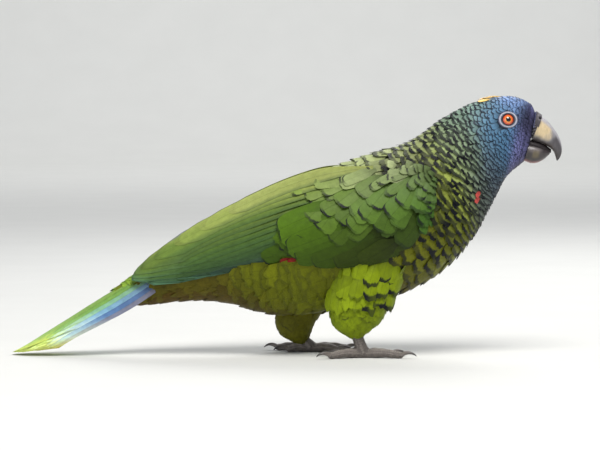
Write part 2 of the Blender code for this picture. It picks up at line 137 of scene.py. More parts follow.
# Toes: name, angle outwards from straight ahead, length.
TOES = [("inner_front", -16, 23.0), ("outer_front", 14, 30.0), ("outer_back", 155, 27.0),
        ("inner_back", 196, 17.0)]
TOE_ROOT, TOE_TIP = 3.7, 2.7                                # radii
CLAW_LENGTH, CLAW_RADIUS = 11.0, 2.0

# Plumage on the body: station, turn from the back line in degrees, tint, strength and width of the dark edge.
PLUMAGE = {
    "forehead": (0.3, 20, (97, 97, 146), 0.75, 0.09),
    "crown": (1.9, 5, (124, 152, 201), 0.85, 0.1),
    "lores": (0.9, 64, (38, 37, 52), 0.6, 0.14),
    "gape": (0.4, 120, (72, 70, 108), 0.6, 0.10),
    "cheek": (1.2, 120, (122, 122, 178), 0.8, 0.1),
    "ear": (2.3, 100, (71, 115, 150), 0.9, 0.12),
    "behind_eye": (2.7, 60, (80, 121, 152), 0.9, 0.12),
    "hind_cheek": (3.0, 120, (89, 105, 113), 1.0, 0.17),
    "chin": (1.0, 175, (78, 74, 88), 0.6, 0.12),
    "throat": (2.8, 170, (68, 78, 90), 0.9, 0.18),
    "nape": (3.3, 10, (125, 149, 131), 1.0, 0.2),
    "neck": (4.0, 75, (125, 143, 111), 1.0, 0.25),
    "neck_front": (4.0, 140, (108, 119, 110), 1.0, 0.23),
    "low_neck": (4.9, 92, (178, 192, 78), 1.0, 0.27),
    "upper_back": (5.2, 10, (154, 163, 110), 1.0, 0.2),
    # Painted shadow: near-black feathers where the wing meets the body.
    "wing_pit_shadow": (5.3, 82, (20, 20, 19), 1.0, 0.38),
    "breast": (5.4, 160, (98, 104, 14), 1.0, 0.22),
    "side": (6.4, 122, (104, 108, 12), 1.0, 0.19),
    "mantle": (7.0, 0, (156, 167, 110), 0.7, 0.05),
    # The belly's tint is olive, darkened further with painted shade under the body.
    "belly": (7.4, 175, (76, 71, 1), 0.55, 0.06),
    "flank": (8.4, 130, (98, 104, 3), 0.3, 0.08),
    "rump": (9.2, 0, (104, 136, 48), 0.3, 0.04),
    "vent": (9.4, 180, (70, 58, 2), 0.1, 0.03),
    "tail_side": (10.3, 82, (86, 80, 8), 0.15, 0.03),
    "undertail": (10.8, 180, (76, 58, 3), 0.15, 0.03),
    "upper_tail": (10.8, 0, (128, 160, 54), 0.3, 0.03),
}
# The same on the wing, with the share of the way from the upper to the lower edge in place of the turn.
WING_PLUMAGE = {
    "bend": (0.3, 0.4, (84, 108, 56), 0.95, 0.13),
    "bend_low": (1.0, 0.85, (62, 96, 30), 0.9, 0.12),
    "shoulder": (1.8, 0.2, (85, 103, 58), 0.95, 0.1),
    "scapulars": (2.9, 0.02, (167, 176, 126), 0.7, 0.055),
    "long_scapulars": (4.2, 0.05, (124, 146, 58), 0.85, 0.06),
    "median": (2.3, 0.5, (84, 116, 42), 1.0, 0.078),
    "hind_median": (3.3, 0.45, (91, 116, 42), 1.0, 0.07),
    "greater": (2.6, 0.9, (42, 54, 3), 0.5, 0.03),
    "hind_greater": (4.0, 0.8, (60, 86, 9), 0.9, 0.03),
}
# How far each place spreads, along the stations and across them.
BODY_BLEND, WING_BLEND = (0.42, 26.0), (0.55, 0.16)


def unit(v):
    return v / np.maximum(np.linalg.norm(v, axis=-1, keepdims=True), 1e-12)


def smooth(x, low=0.0, high=1.0):
    """Rises from 0 at low to 1 at high with soft ends."""
    t = np.clip((np.asarray(x, float) - low) / (high - low), 0, 1)
    return t * t * (3 - 2 * t)


def linear(rgb):
    """A tint of 0 to 255 as the shader's linear colour."""
    c = np.asarray(rgb, float) / 255
    return np.where(c <= 0.04045, c / 12.92, ((c + 0.055) / 1.055) ** 2.4)


def along(table, at):
    """Catmull-Rom values of a table's columns at fractional rows. Past its ends they go straight on."""
    at = np.asarray(at, float)
    last = len(table) - 1
    inside = np.clip(at, 0, last)
    i = np.minimum(inside.astype(int), last - 1)
    t = (inside - i)[..., None]
    a, b, c, d = (table[np.clip(i + k, 0, last)] for k in (-1, 0, 1, 2))
    quad, cube = 2 * a - 5 * b + 4 * c - d, 3 * b - a - 3 * c + d
    value = 0.5 * (2 * b + (c - a) * t + quad * t ** 2 + cube * t ** 3)
    slope = 0.5 * ((c - a) + 2 * quad * t + 3 * cube * t ** 2)
    return value + slope * (at - inside)[..., None]


def columns(table, at):
    return np.moveaxis(along(table, at), -1, 0)


def points(x, y, z):
    return np.stack(np.broadcast_arrays(x, y, z), -1)


def run_along(line):
    """How far each point of a line is from its start, measured along the line."""
    return np.concatenate([[0], np.cumsum(np.linalg.norm(np.diff(line, axis=0), axis=1))])


def search_tree(spots):
    """A tree that finds which of many points is nearest to a place."""
    tree = KDTree(len(spots))
    for i, spot in enumerate(spots):
        tree.insert(spot, i)
    tree.balance()
    return tree


SEEN_FROM_SIDE = (1, 0, 1)               # points times this lose their y


def put_in_scene(name, data):
    obj = bpy.data.objects.new(name, data)
    bpy.context.scene.collection.objects.link(obj)
    return obj


def finished_mesh(obj):
    """The plain mesh that an object's modifiers give. The object itself is removed."""
    view = obj.evaluated_get(bpy.context.evaluated_depsgraph_get())
    mesh = bpy.data.meshes.new_from_object(view)
    bpy.data.objects.remove(obj)
    return mesh


class Surface:
    """A curved surface given by a function of two numbers, with the sign that makes its normal face out."""

    def __init__(self, point, out):
        self.point, self.out = point, out

    def slopes(self, p, q, step=0.01):
        return ((self.point(p + step, q) - self.point(p - step, q)) / (2 * step),
                (self.point(p, q + step) - self.point(p, q - step)) / (2 * step))

    def normal(self, p, q):
        return unit(np.cross(*self.slopes(p, q))) * self.out

    def step(self, p, q, way):
        """Changes of p and q that go one millimetre along a direction, flattened onto the surface."""
        dp, dq = self.slopes(p, q)
        a, b, c = (dp * dp).sum(-1), (dp * dq).sum(-1), (dq * dq).sum(-1)
        e, f = (dp * way).sum(-1), (dq * way).sum(-1)
        det = np.maximum(a * c - b * b, 1e-9)
        sp, sq = (c * e - b * f) / det, (a * f - b * e) / det
        length = np.linalg.norm(dp * sp[..., None] + dq * sq[..., None], axis=-1)
        return sp / np.maximum(length, 1e-9), sq / np.maximum(length, 1e-9)


def body_point(at, turn):
    """A point of the body's outline at a station. Turn is 0 on the back line and grows round by the left."""
    tx, tz, bx, bz, width, egg = columns(BODY, at)
    c, s = np.cos(turn), np.sin(turn)
    return points((tx + bx) / 2 + (tx - bx) / 2 * c, width * s * (1 - egg * c),
                  (tz + bz) / 2 + (tz - bz) / 2 * c)


def wing_point(side):
    """The outer face of one closed wing, by station and by share of the way down."""
    def point(at, share):
        ux, uy, uz, lx, ly, lz, bulge = columns(WING, at)
        share = share - 0.8 * np.minimum(share, 0) - 0.8 * np.maximum(share - 1, 0)
        swell = np.sin(math.pi * np.clip(share, 0, 1)) ** 0.75
        return points(ux + (lx - ux) * share, side * (uy + (ly - uy) * share + bulge * swell),
                      uz + (lz - uz) * share)
    return point


def tail_point(at, angle):
    """The tail's upper face, by station and by angle of the arch from the middle line to the left."""
    x, z, half, depth = columns(TAIL, at)
    x1, z1 = columns(TAIL, at + 0.05)[:2]
    x0, z0 = columns(TAIL, at - 0.05)[:2]
    run = np.hypot(x1 - x0, z1 - z0)
    ux, uz = -(z1 - z0) / run, (x1 - x0) / run
    flip = np.sign(uz)
    sink = depth * (1 - np.cos(angle))
    return points(x - ux * flip * sink, half * np.sin(angle), z - uz * flip * sink)


def thigh_point(table):
    def point(row, turn):
        x, y, z, long, wide = columns(table, row)
        return points(x + long * np.cos(turn), y + wide * np.sin(turn), z)
    return point


BODY_FACE = Surface(body_point, -1)
WING_FACE = {"right": Surface(wing_point(-1), 1), "left": Surface(wing_point(1), -1)}
TAIL_FACE = Surface(tail_point, -1)
THIGH_FACE = {side: Surface(thigh_point(table), 1) for side, table in THIGHS.items()}


def plumage(places, spread, p, q):
    """Tint, strength and width of the dark edge at spots of a surface, each place fading into the next."""
    table = np.array([(a, b, *linear(tint), edge, band) for a, b, tint, edge, band in places.values()])
    far = ((p[..., None] - table[:, 0]) / spread[0]) ** 2 + ((q[..., None] - table[:, 1]) / spread[1]) ** 2
    weight = np.exp(-far / 2) + 1e-9
    value = (weight[..., None] * table[:, 2:]).sum(-2) / weight.sum(-1)[..., None]
    return value[..., :3], value[..., 3], value[..., 4]


def body_plumage(at, turn):
    folded = np.abs((turn / DEG + 180) % 360 - 180)
    return plumage(PLUMAGE, BODY_BLEND, at, folded)


# ---------------------------------------------------------------- materials

class Finish:
    """A Principled material and short ways to add nodes to it."""

    def __init__(self, name, **sockets):
        self.material = bpy.data.materials.new(name)
        self.material.use_nodes = True
        self.tree = self.material.node_tree
        self.shader = self.tree.nodes["Principled BSDF"]
        for socket, value in sockets.items():
            self.shader.inputs[socket.replace("_", " ")].default_value = value

    def node(self, kind, *inputs, **settings):
        node = self.tree.nodes.new("ShaderNode" + kind)
        for key, value in settings.items():
            setattr(node, key, value)
        for socket, value in zip(node.inputs, inputs):
            self.put(socket, value)
        return node

    def put(self, socket, value):
        if isinstance(value, bpy.types.NodeSocket):
            self.tree.links.new(value, socket)
        elif value is not None:
            socket.default_value = value

    def math(self, operation, *inputs):
        return self.node("Math", *inputs, operation=operation).outputs[0]

    def ease(self, value, low, high, to_low=0.0, to_high=1.0):
        node = self.node("MapRange", value, low, high, to_low, to_high, interpolation_type="SMOOTHSTEP")
        return node.outputs[0]

    def attribute(self, name):
        return self.node("Attribute", attribute_name=name)

    def spot(self):
        return self.node("TexCoord").outputs["Object"]

    def split(self, vector):
        return self.node("SeparateXYZ", vector).outputs

    def noise(self, vector, scale, detail=2.0, roughness=0.5):
        node = self.node("TexNoise", vector)
        for socket, value in (("Scale", scale), ("Detail", detail), ("Roughness", roughness)):
            node.inputs[socket].default_value = value
        return node.outputs["Fac"]

    def stretch(self, vector, scale):
        node = self.node("Mapping", vector)
        node.inputs["Scale"].default_value = scale
        return node.outputs[0]

    def mix(self, factor, a, b, blend="MIX"):
        node = self.node("Mix", data_type="RGBA", blend_type=blend)
        for socket, value in (("Factor_Float", factor), ("A_Color", a), ("B_Color", b)):
            found = next(s for s in node.inputs if s.identifier == socket)
            self.put(found, (*value, 1.0) if isinstance(value, (tuple, list, np.ndarray)) else value)
        return next(s for s in node.outputs if s.identifier == "Result_Color")

    def grey(self, value):
        node = self.node("CombineColor", value, value, value)
        return node.outputs[0]

    def bump(self, height, strength, distance):
        node = self.node("Bump")
        node.inputs["Strength"].default_value = strength
        node.inputs["Distance"].default_value = distance
        self.put(node.inputs["Height"], height)
        self.put(self.shader.inputs["Normal"], node.outputs[0])

    def colour(self, socket):
        self.put(self.shader.inputs["Base Color"], socket)

def feather_finish(name, barbs, rough=0.5, edge=(14, 17, 22), full=0.66, square=2.4):
    """A feather: its tint, a dark margin round the tip, a shaft and slanting barbs. The vane's tip starts to
    round off at a share of its length, full, and square is how blunt it is. The marks attribute holds the
    strength and width of the margin, how far it keeps to the tip, and a random share for each vane."""
    f = Finish(name, Roughness=rough, Specular_IOR_Level=0.16, Sheen_Weight=0.04, Sheen_Roughness=0.4)
    tint, marks = f.attribute("tint").outputs["Color"], f.attribute("marks")
    strength, band, tip_only = f.node("SeparateColor", marks.outputs["Color"]).outputs
    flat = f.node("UVMap", uv_map="vane").outputs[0]
    u, v, _ = f.split(flat)
    side = f.math("MULTIPLY_ADD", u, 2.0, -1.0)
    chance = marks.outputs["Alpha"]
    x = f.math("ABSOLUTE", side)
    round_tip = f.math("SUBTRACT", 1.0, f.math("POWER", f.math("MINIMUM", x, 0.999), square))
    tip = f.math("MULTIPLY_ADD", f.math("POWER", round_tip, 1 / square), 1 - full, full)
    spot = f.spot()
    # The dark margin, by the gap to the vane's tip and by the vane's sides. Patchy breaks it up.
    patchy = f.noise(spot, 900.0, 2.0)
    gap = f.math("DIVIDE", f.math("SUBTRACT", tip, v), f.math("MAXIMUM", band, 0.001))
    gap = f.math("ADD", gap, f.math("MULTIPLY_ADD", patchy, 0.7, -0.35))
    part = f.ease(f.math("MULTIPLY", side, f.math("MULTIPLY_ADD", chance, 5.0, -2.5)), -0.7, 0.5)
    part = f.math("MULTIPLY_ADD", tip_only, f.math("SUBTRACT", part, 1.0), 1.0)
    margin = f.math("MULTIPLY", f.ease(gap, 0.75, 1.15, 1.0, 0.0), part)
    sides = f.ease(f.math("MULTIPLY_ADD", patchy, 0.16, x), 0.86, 0.98)
    sides = f.math("MULTIPLY", sides, f.math("MAXIMUM", f.math("MULTIPLY_ADD", tip_only, -4.0, 1.0), 0.0))
    margin = f.math("MULTIPLY", f.math("MAXIMUM", margin, sides), strength)
    # Barbs, clumps of barbs and the shaft.
    slant = f.math("SUBTRACT", f.math("MULTIPLY", v, barbs), f.math("MULTIPLY", x, barbs * 0.28))
    barb = f.math("MULTIPLY_ADD", f.math("SINE", f.math("MULTIPLY", slant, 2 * math.pi)), 0.5, 0.5)
    clump = f.noise(f.stretch(flat, (2.0, 9.0, 1.0)), 3.0, 3.0)
    shaft = f.ease(x, 0.015, 0.06, 1.0, 0.0)
    # How light the vane is, growing towards the tip.
    light = f.math("MULTIPLY_ADD", f.noise(spot, 260.0, 3.0), 0.5, 0.72)
    light = f.math("ADD", light, f.math("MULTIPLY_ADD", v, 0.34, -0.24))
    light = f.math("ADD", light, f.math("MULTIPLY", barb, 0.07))
    light = f.math("ADD", light, f.math("MULTIPLY_ADD", clump, 0.24, -0.12))
    light = f.math("ADD", light, f.math("MULTIPLY", shaft, -0.16))
    base = f.mix(1.0, tint, f.grey(light), "MULTIPLY")
    f.colour(f.mix(margin, base, tuple(linear(edge))))
    height = f.math("ADD", f.math("MULTIPLY", barb, 0.5), f.math("MULTIPLY", shaft, 1.2))
    f.bump(height, 0.35, 0.00025)
    return f.material


# ---------------------------------------------------------------- meshes

def paint(mesh, name, values):
    """Gives every point of a mesh a colour, or four values."""
    if values.shape[1] == 3:
        values = np.concatenate([values, np.ones((len(values), 1))], 1)
    layer = mesh.color_attributes.new(name, "FLOAT_COLOR", "POINT")
    layer.data.foreach_set("color", values.astype(np.float32).ravel())


def plain_mesh(name, verts, faces, material, uvs=None, tint=None, marks=None, sharp=50.0):
    """A mesh from millimetre points and lists of equal-sided faces, with attributes for each point."""
    mesh = bpy.data.meshes.new(name)
    mesh.vertices.add(len(verts))
    mesh.vertices.foreach_set("co", (verts * MM).astype(np.float32).ravel())
    corners = np.concatenate([f.ravel() for f in faces]).astype(np.int32)
    sizes = np.concatenate([np.full(len(f), f.shape[1]) for f in faces])
    starts = np.concatenate([[0], np.cumsum(sizes)[:-1]]).astype(np.int32)
    mesh.loops.add(len(corners))
    mesh.loops.foreach_set("vertex_index", corners)
    mesh.polygons.add(len(sizes))
    mesh.polygons.foreach_set("loop_start", starts)
    mesh.update(calc_edges=True)
    for layer, values in (uvs or {}).items():
        mesh.uv_layers.new(name=layer).data.foreach_set("uv", values[corners].astype(np.float32).ravel())
    for layer, values in (("tint", tint), ("marks", marks)):
        if values is not None:
            paint(mesh, layer, values)
    mesh.materials.append(material)
    mesh.validate()
    mesh.shade_smooth()
    mesh.set_sharp_from_angle(angle=sharp * DEG)
    return mesh


def add_piece(name, mesh, slot, *stands_for):
    """Puts a finished mesh in the scene as a piece of the bird."""
    obj = put_in_scene(name, mesh)
    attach(obj, "root")
    if stands_for:
        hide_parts(*stands_for)


def grid_faces(count, rows, cols, shell=False):
    """Faces of closed vanes: a crowned top, a flat underside strip by strip, and the two ends. The columns of
    a shell run on round its underside, and its ends close with quads."""
    i, j = np.meshgrid(np.arange(rows - 1), np.arange(cols - 1), indexing="ij")
    a = (i * cols + j).ravel()
    top = np.stack([a, a + cols, a + cols + 1, a + 1], 1)
    k = np.arange(rows - 1) * cols
    under = np.stack([k, k + cols - 1, k + 2 * cols - 1, k + cols], 1)
    quads = np.concatenate([top, under])
    shift = (np.arange(count) * rows * cols)[:, None, None]
    if shell:
        k = np.arange(cols // 2 - 1)
        end = np.stack([k, k + 1, cols - 2 - k, cols - 1 - k], 1)
        quads = np.concatenate([quads, end, end[:, ::-1] + (rows - 1) * cols])
        return [(quads[None] + shift).reshape(-1, 4)]
    ends = np.stack([np.arange(cols), (rows * cols - 1) - np.arange(cols)])
    return (quads[None] + shift).reshape(-1, 4), (ends[None] + shift).reshape(-1, cols)


def fullness(u, root=0.4):
    """Half width of a vane along its length, as a share of its widest."""
    return root + (1 - root) * smooth(u, 0, 0.45)


def tip_line(w, full, square):
    """The share of a vane's length that it reaches at places across it from -1 to 1."""
    return full + (1 - full) * (1 - np.abs(w) ** square) ** (1 / square)


def fan(count, cols, full, square, jag):
    """Places across a vane from -1 to 1, and how far along each line of barbs ends, a little unevenly."""
    w = np.sin(np.linspace(-math.pi / 2, math.pi / 2, cols))
    return w, tip_line(w, full, square) * (1 + jag * rng.standard_normal((count, cols)))


# Where the rows of points lie along vanes of four kinds.
SMALL = np.array([0.0, 0.3, 0.55, 0.75, 0.9, 1.0])
MEDIUM = np.array([0.0, 0.18, 0.35, 0.5, 0.64, 0.77, 0.89, 1.0])
FINE = np.array([0.0, 0.15, 0.3, 0.45, 0.58, 0.7, 0.8, 0.88, 0.95, 1.0])
LONG = 1 - (1 - np.linspace(0, 1, 34)) ** 1.15


def lay(surface, p, q, half, rise, w, slip):
    """Points of vanes that hug a surface: centre lines p and q, half widths, heights over the surface, the
    points' places across from -1 to 1, and millimetres to slide each point along its vane."""
    dp, dq = surface.slopes(p, q)
    run = dp * np.gradient(p, axis=1)[..., None] + dq * np.gradient(q, axis=1)[..., None]
    up = unit(np.cross(dp, dq)) * surface.out
    sp, sq = surface.step(p, q, unit(np.cross(up, run)))
    rp, rq = surface.step(p, q, run)
    y = half[..., None] * w
    p = p[..., None] + y * sp[..., None] + slip * rp[..., None]
    q = q[..., None] + y * sq[..., None] + slip * rq[..., None]
    return surface.point(p, q) + surface.normal(p, q) * rise[..., None]


def shape_map(shape, w, span, rows):
    """Each point's place on the flat vane: across and along, both from 0 to 1."""
    across = 0.5 + 0.5 * shape[:, None] * w
    ahead = rows[:, None] * np.clip(span, 0, 1)[:, None]
    return np.stack(np.broadcast_arrays(across[None], ahead), -1)


def vanes(surface, p, q, way, length, half, depth, tint, edge, patch, rows=SMALL, cols=7, crown=0.3,
          roll=0.12, lift=0.0, tip_only=0.0, curl=0.0, full=0.66, square=2.4, fluff=0.5, jag=0.03, stray=0.08,
          from_tip=False, within=(-10.0, 10.0)):
    """Short feathers that grow from p, q along a direction, sunk by depth at the root and level at the tip.
    With from_tip, p and q are the places of their tips. Their middle lines keep q within limits.

    Edge is the strength and width of the dark margin, and patch the middle of each vane's place on the baking
    map. Crown is the height of the vane's middle, roll its lean to one side, curl the rise of its tip, fluff
    how dark its root is, jag how uneven its tip is and stray how far it turns from its way, in radians."""
    count = len(p)
    normal = surface.normal(p, q)
    way = unit(way - normal * (way * normal).sum(-1, keepdims=True))
    turn = stray * rng.standard_normal(count)[:, None]
    sp, sq = surface.step(p, q, way * np.cos(turn) + np.cross(normal, way) * np.sin(turn))
    reach = rows - 1 if from_tip else rows
    p = p[:, None] + (sp * length)[:, None] * reach
    q = np.clip(q[:, None] + (sq * length)[:, None] * reach, *within)
    w, span = fan(count, cols, full, square, jag)
    shape = fullness(rows)
    u = rows[:, None] * span[:, None]
    low = -depth[:, None, None] * np.maximum(1 - u, 0) ** 0.9 + lift + curl * u ** 4
    tilt = roll * rng.choice([1.0, 0.6, -0.5], count)[:, None, None]
    hump = crown * (1 - w ** 2) * (1 - 0.6 * rows[:, None] ** 3)
    rise = low + shape[:, None] * (hump + tilt * w)
    slip = length[:, None, None] * (u - rows[:, None])
    found = lay(surface, p, q, half[:, None] * shape, rise, w, slip)
    uv = shape_map(shape, w, span, rows)
    shade = 1 - fluff * (1 - smooth(u, 0.1, 0.5))
    random = 1 + 0.09 * rng.standard_normal(count)
    tint = tint[:, None, None] * shade[..., None] * random[:, None, None, None]
    marks = np.stack([edge[0], edge[1], np.full(count, float(tip_only)), rng.random(count)], 1)
    return dict(points=found, uv=uv, tint=tint, marks=marks, patch=patch)


PATCH = np.array([0.003, 0.003])         # size of a small vane's place on the baking map
MAP_EDGE, MAP_SPAN = 0.03, 0.94          # the map's empty edge, and the stretch that vanes fill


def coat(name, groups, material, slot, *stands_for):
    """One piece made of many vanes."""
    verts, tint, marks, uv, bake, faces = [], [], [], [], [], []
    offset = 0
    for g in groups:
        count, rows, cols = g["points"].shape[:3]
        if not count:
            continue
        verts.append(g["points"].reshape(-1, 3))
        tint.append(np.clip(g["tint"], 0, 1).reshape(-1, 3))
        marks.append(np.repeat(g["marks"], rows * cols, axis=0))
        uv.append(g["uv"].reshape(-1, 2))
        size = g.get("patch_size", PATCH)
        bake.append((g["patch"][:, None, None] + (g["uv"] - 0.5) * size).reshape(-1, 2))
        faces += [f + offset for f in grid_faces(count, rows, cols, g.get("shell", False))]
        offset += count * rows * cols
    mesh = plain_mesh(name, np.concatenate(verts), faces, material,
                      uvs={"OFBake": np.concatenate(bake), "vane": np.concatenate(uv)},
                      tint=np.concatenate(tint), marks=np.concatenate(marks), sharp=60.0)
    add_piece(name, mesh, slot, *stands_for)


def ring_faces(rows, sides, closed=False):
    """Quads between rings of equal counts, and the two end caps unless the rings close on themselves."""
    i, j = np.meshgrid(np.arange(rows if closed else rows - 1), np.arange(sides), indexing="ij")
    a, b = (i * sides + j).ravel(), (i * sides + (j + 1) % sides).ravel()
    c, d = ((i + 1) % rows * sides + (j + 1) % sides).ravel(), ((i + 1) % rows * sides + j).ravel()
    quads = np.stack([a, b, c, d], 1)
    caps = np.stack([np.arange(sides)[::-1], (rows - 1) * sides + np.arange(sides)])
    return [quads] if closed else [quads, caps]


def volume(verts, faces):
    """Six times the volume inside a closed form, below zero when it is inside out."""
    total = 0.0
    for f in faces:
        for k in range(1, f.shape[1] - 1):
            a, b, c = verts[f[:, 0]], verts[f[:, k]], verts[f[:, k + 1]]
            total += (a * np.cross(b, c)).sum()
    return total


def ring_mesh(name, rings, material, tint, closed=False, uvs=None, sharp=70.0):
    """A closed skin over rings of points (rings, sides, 3), facing outwards."""
    rows, sides = rings.shape[:2]
    verts = rings.reshape(-1, 3)
    faces = ring_faces(rows, sides, closed)
    if volume(verts, faces) < 0:
        faces = [f[:, ::-1] for f in faces]
    tint = np.broadcast_to(tint, (rows, sides, 3)).reshape(-1, 3)
    return plain_mesh(name, verts, faces, material, uvs=uvs, tint=tint, sharp=sharp)


def lay_tints(colour, *steps):
    """Lays tints over linear colours, as pairs of a tint and how much of it shows."""
    for rgb, amount in steps:
        amount = np.asarray(amount)[..., None]
        colour = colour * (1 - amount) + linear(rgb) * amount
    return colour


def blend_tints(rgb, *steps):
    return lay_tints(linear(rgb), *steps)


# ---------------------------------------------------------------- body feathers

def eye_spot(side):
    """An eyeball's middle, the direction it looks, and the place over it on the head's surface."""
    out = unit(np.array([EYE_OUT[0], side * EYE_OUT[1], EYE_OUT[2]]))
    middle = np.array([EYE_MIDDLE[0], side * EYE_MIDDLE[1], EYE_MIDDLE[2]])
    return middle, out, middle + out * EYE_DEPTH


def ring_of_roots(ring, turns, width, odd, scatter):
    """Turns of evenly spaced roots round a ring, half a space on in every other row, and the true space."""
    run = run_along(ring)
    count = max(8, round(run[-1] / width))
    share = (np.arange(count) + 0.5 * (odd % 2) + scatter * rng.standard_normal(count)) / count
    return np.interp(share % 1.0 * run[-1], run, turns), run[-1] / count


def body_rows(start, end):
    """Roots of the body's feathers row by row: station, turn, space to the next row and along the row."""
    found = []
    turns = np.linspace(-math.pi, math.pi, 241)
    at, odd = 0.02, 0
    while at < end:
        _, space, width = along(COAT, at)
        step = space / np.linalg.norm(BODY_FACE.slopes(np.array([at]), np.array([math.pi / 2]))[0])
        ring = body_point(np.full(len(turns), at), turns)
        turn, width = ring_of_roots(ring, turns, width, odd, 0.12)
        station = at + step * 0.14 * rng.standard_normal(len(turn))
        if at >= start:
            slope = np.linalg.norm(BODY_FACE.slopes(station, turn)[0], axis=1)
            found.append(np.stack([station, turn, step * slope, np.full(len(turn), width)]))
        at, odd = at + step, odd + 1
    return np.concatenate(found, 1)


def under_wings(spots, reach=2.6, between=8.0):
    """Which points lie beneath the closed wings, well inside their edges. Reach is how near in a side view,
    and feathers closer than between to the middle line always stay."""
    at, share = np.meshgrid(np.linspace(0.8, 7.4, 120), np.linspace(0.16, 0.84, 34))
    tree = search_tree(wing_point(1)(at.ravel(), share.ravel()) * SEEN_FROM_SIDE)
    near = np.array([tree.find(spot)[2] for spot in spots * SEEN_FROM_SIDE])
    return (near < reach) & (np.abs(spots[:, 1]) > between)


def clear_of_eyes(spots, ways, length, around=30.0, overlap=0.7, shortest=1.3):
    """Lengths of feathers around the eyes that overlap the bare rings only a little, and which are left."""
    keep = np.ones(len(spots), bool)
    for side in SIDE.values():
        skin = eye_spot(side)[2]
        to_eye = skin - spots
        ahead = (to_eye * ways).sum(1)
        far = np.linalg.norm(to_eye, axis=1)
        aside = np.sqrt(np.maximum(far ** 2 - ahead ** 2, 0))
        facing = (aside < LID_REACH) & (ahead > 0) & (far < around)
        room = ahead - np.sqrt(np.maximum(LID_REACH ** 2 - aside ** 2, 0)) + overlap
        length = np.where(facing, np.minimum(length, room), length)
        keep &= far > LID_REACH
    return length, keep & (length > shortest)


def body_vanes(start, end, reach=2.5, wide=0.64, **how):
    """The feathers of a stretch of the body. Reach is their length in row spaces, wide their half width in
    spaces along the row."""
    at, turn, space, width = body_rows(start, end)
    spots, ways = body_point(at, turn), unit(BODY_FACE.slopes(at, turn)[0])
    length, keep = clear_of_eyes(spots, ways, space * reach)
    keep &= ~under_wings(spots)
    at, turn, width, ways, length = at[keep], turn[keep], width[keep], ways[keep], length[keep]
    tip = at + length * 0.8 / np.linalg.norm(BODY_FACE.slopes(at, turn)[0], axis=1)
    tint, edge, band = body_plumage(tip, turn)
    patch = np.stack([MAP_EDGE + MAP_SPAN * (at - start) / (end - start),
                      0.5 + MAP_SPAN * turn / (2 * math.pi)], 1)
    return vanes(BODY_FACE, at, turn, ways, length, width * wide, along(COAT, at)[:, 0], tint, (edge, band),
                 patch, **how)


def loose_vanes(spots, length, half, tint, lift, **how):
    """A few feathers of another colour at given stations and turns in degrees of the body."""
    at, turn = np.array(spots, float).T
    turn = turn * DEG
    count = len(at)
    ways = unit(BODY_FACE.slopes(at, turn)[0])
    patch = np.stack([MAP_EDGE + MAP_SPAN * at / (len(BODY) - 1), np.full(count, 0.985)], 1)
    return vanes(BODY_FACE, at, turn, ways, np.full(count, length), np.full(count, half), np.full(count, 1.2),
                 np.tile(linear(tint), (count, 1)), (np.zeros(count), np.full(count, 0.1)), patch, lift=lift,
                 **how)


BODY_FULL, BODY_SQUARE = 0.78, 2.8       # blunter than on the head
head_feather = feather_finish("head_feather", 7.0, edge=(30, 33, 46))
body_feather = feather_finish("body_feather", 16.0, full=BODY_FULL, square=BODY_SQUARE)
BROAD = dict(rows=MEDIUM, cols=13, full=BODY_FULL, square=BODY_SQUARE)

coat("head_coat", [
    body_vanes(0.0, 3.0, cols=9, crown=0.16, roll=0.10, fluff=0.55, curl=0.06, jag=0.09, stray=0.12,
               tip_only=0.1),
    loose_vanes([(2.28, -9), (2.36, 4), (2.5, -3), (2.62, -12), (2.66, 6)], 9.0, 1.7, (236, 196, 116), 0.9,
                crown=0.5, jag=0.08, stray=0.25),
], head_feather, "head_feathers")
coat("neck_coat", [
    body_vanes(3.0, 5.0, crown=0.3, roll=0.2, curl=0.15, jag=0.05, stray=0.13, tip_only=0.2, **BROAD),
    loose_vanes([(3.74, -122), (3.86, -127), (3.9, 122)], 8.0, 2.0, (182, 74, 68), 0.4, **BROAD),
], body_feather, "neck_feathers")
coat("trunk_coat", [
    body_vanes(5.0, 6.8, crown=0.35, roll=0.3, curl=0.15, jag=0.045, stray=0.14, tip_only=0.35, **BROAD),
    body_vanes(6.8, 9.0, reach=3.2, wide=0.76, crown=0.3, roll=0.15, jag=0.035, stray=0.10, tip_only=0.5,
               fluff=0.25, **BROAD),
], body_feather, "body_feathers")
coat("tail_covert_coat", [
    body_vanes(9.0, 11.0, reach=3.8, wide=0.78, crown=0.15, roll=0.06, jag=0.05, tip_only=0.5, fluff=0.2,
               **BROAD),
], body_feather, "tail_covert_feathers")


# ---------------------------------------------------------------- thigh feathers

THIGH_TOP, THIGH_END = 0.5, 4.8          # rows of the first and the last feathers
# The left thigh is tinted darker than the right with painted shade, for the far thigh in the body's shadow.
THIGH_TINTS_AND_SHADE = {"right": (122, 140, 10), "left": (97, 96, 10)}


def thigh_tint_and_shade(side, row):
    """The thigh's tint, a little darker towards the foot; the left thigh's tint is darkened with painted
    shade.
    """
    low = 0.15 * smooth(row, 2.5, THIGH_END)[:, None]
    return linear(THIGH_TINTS_AND_SHADE[side]) * (1 - low) + linear((60, 60, 10)) * low


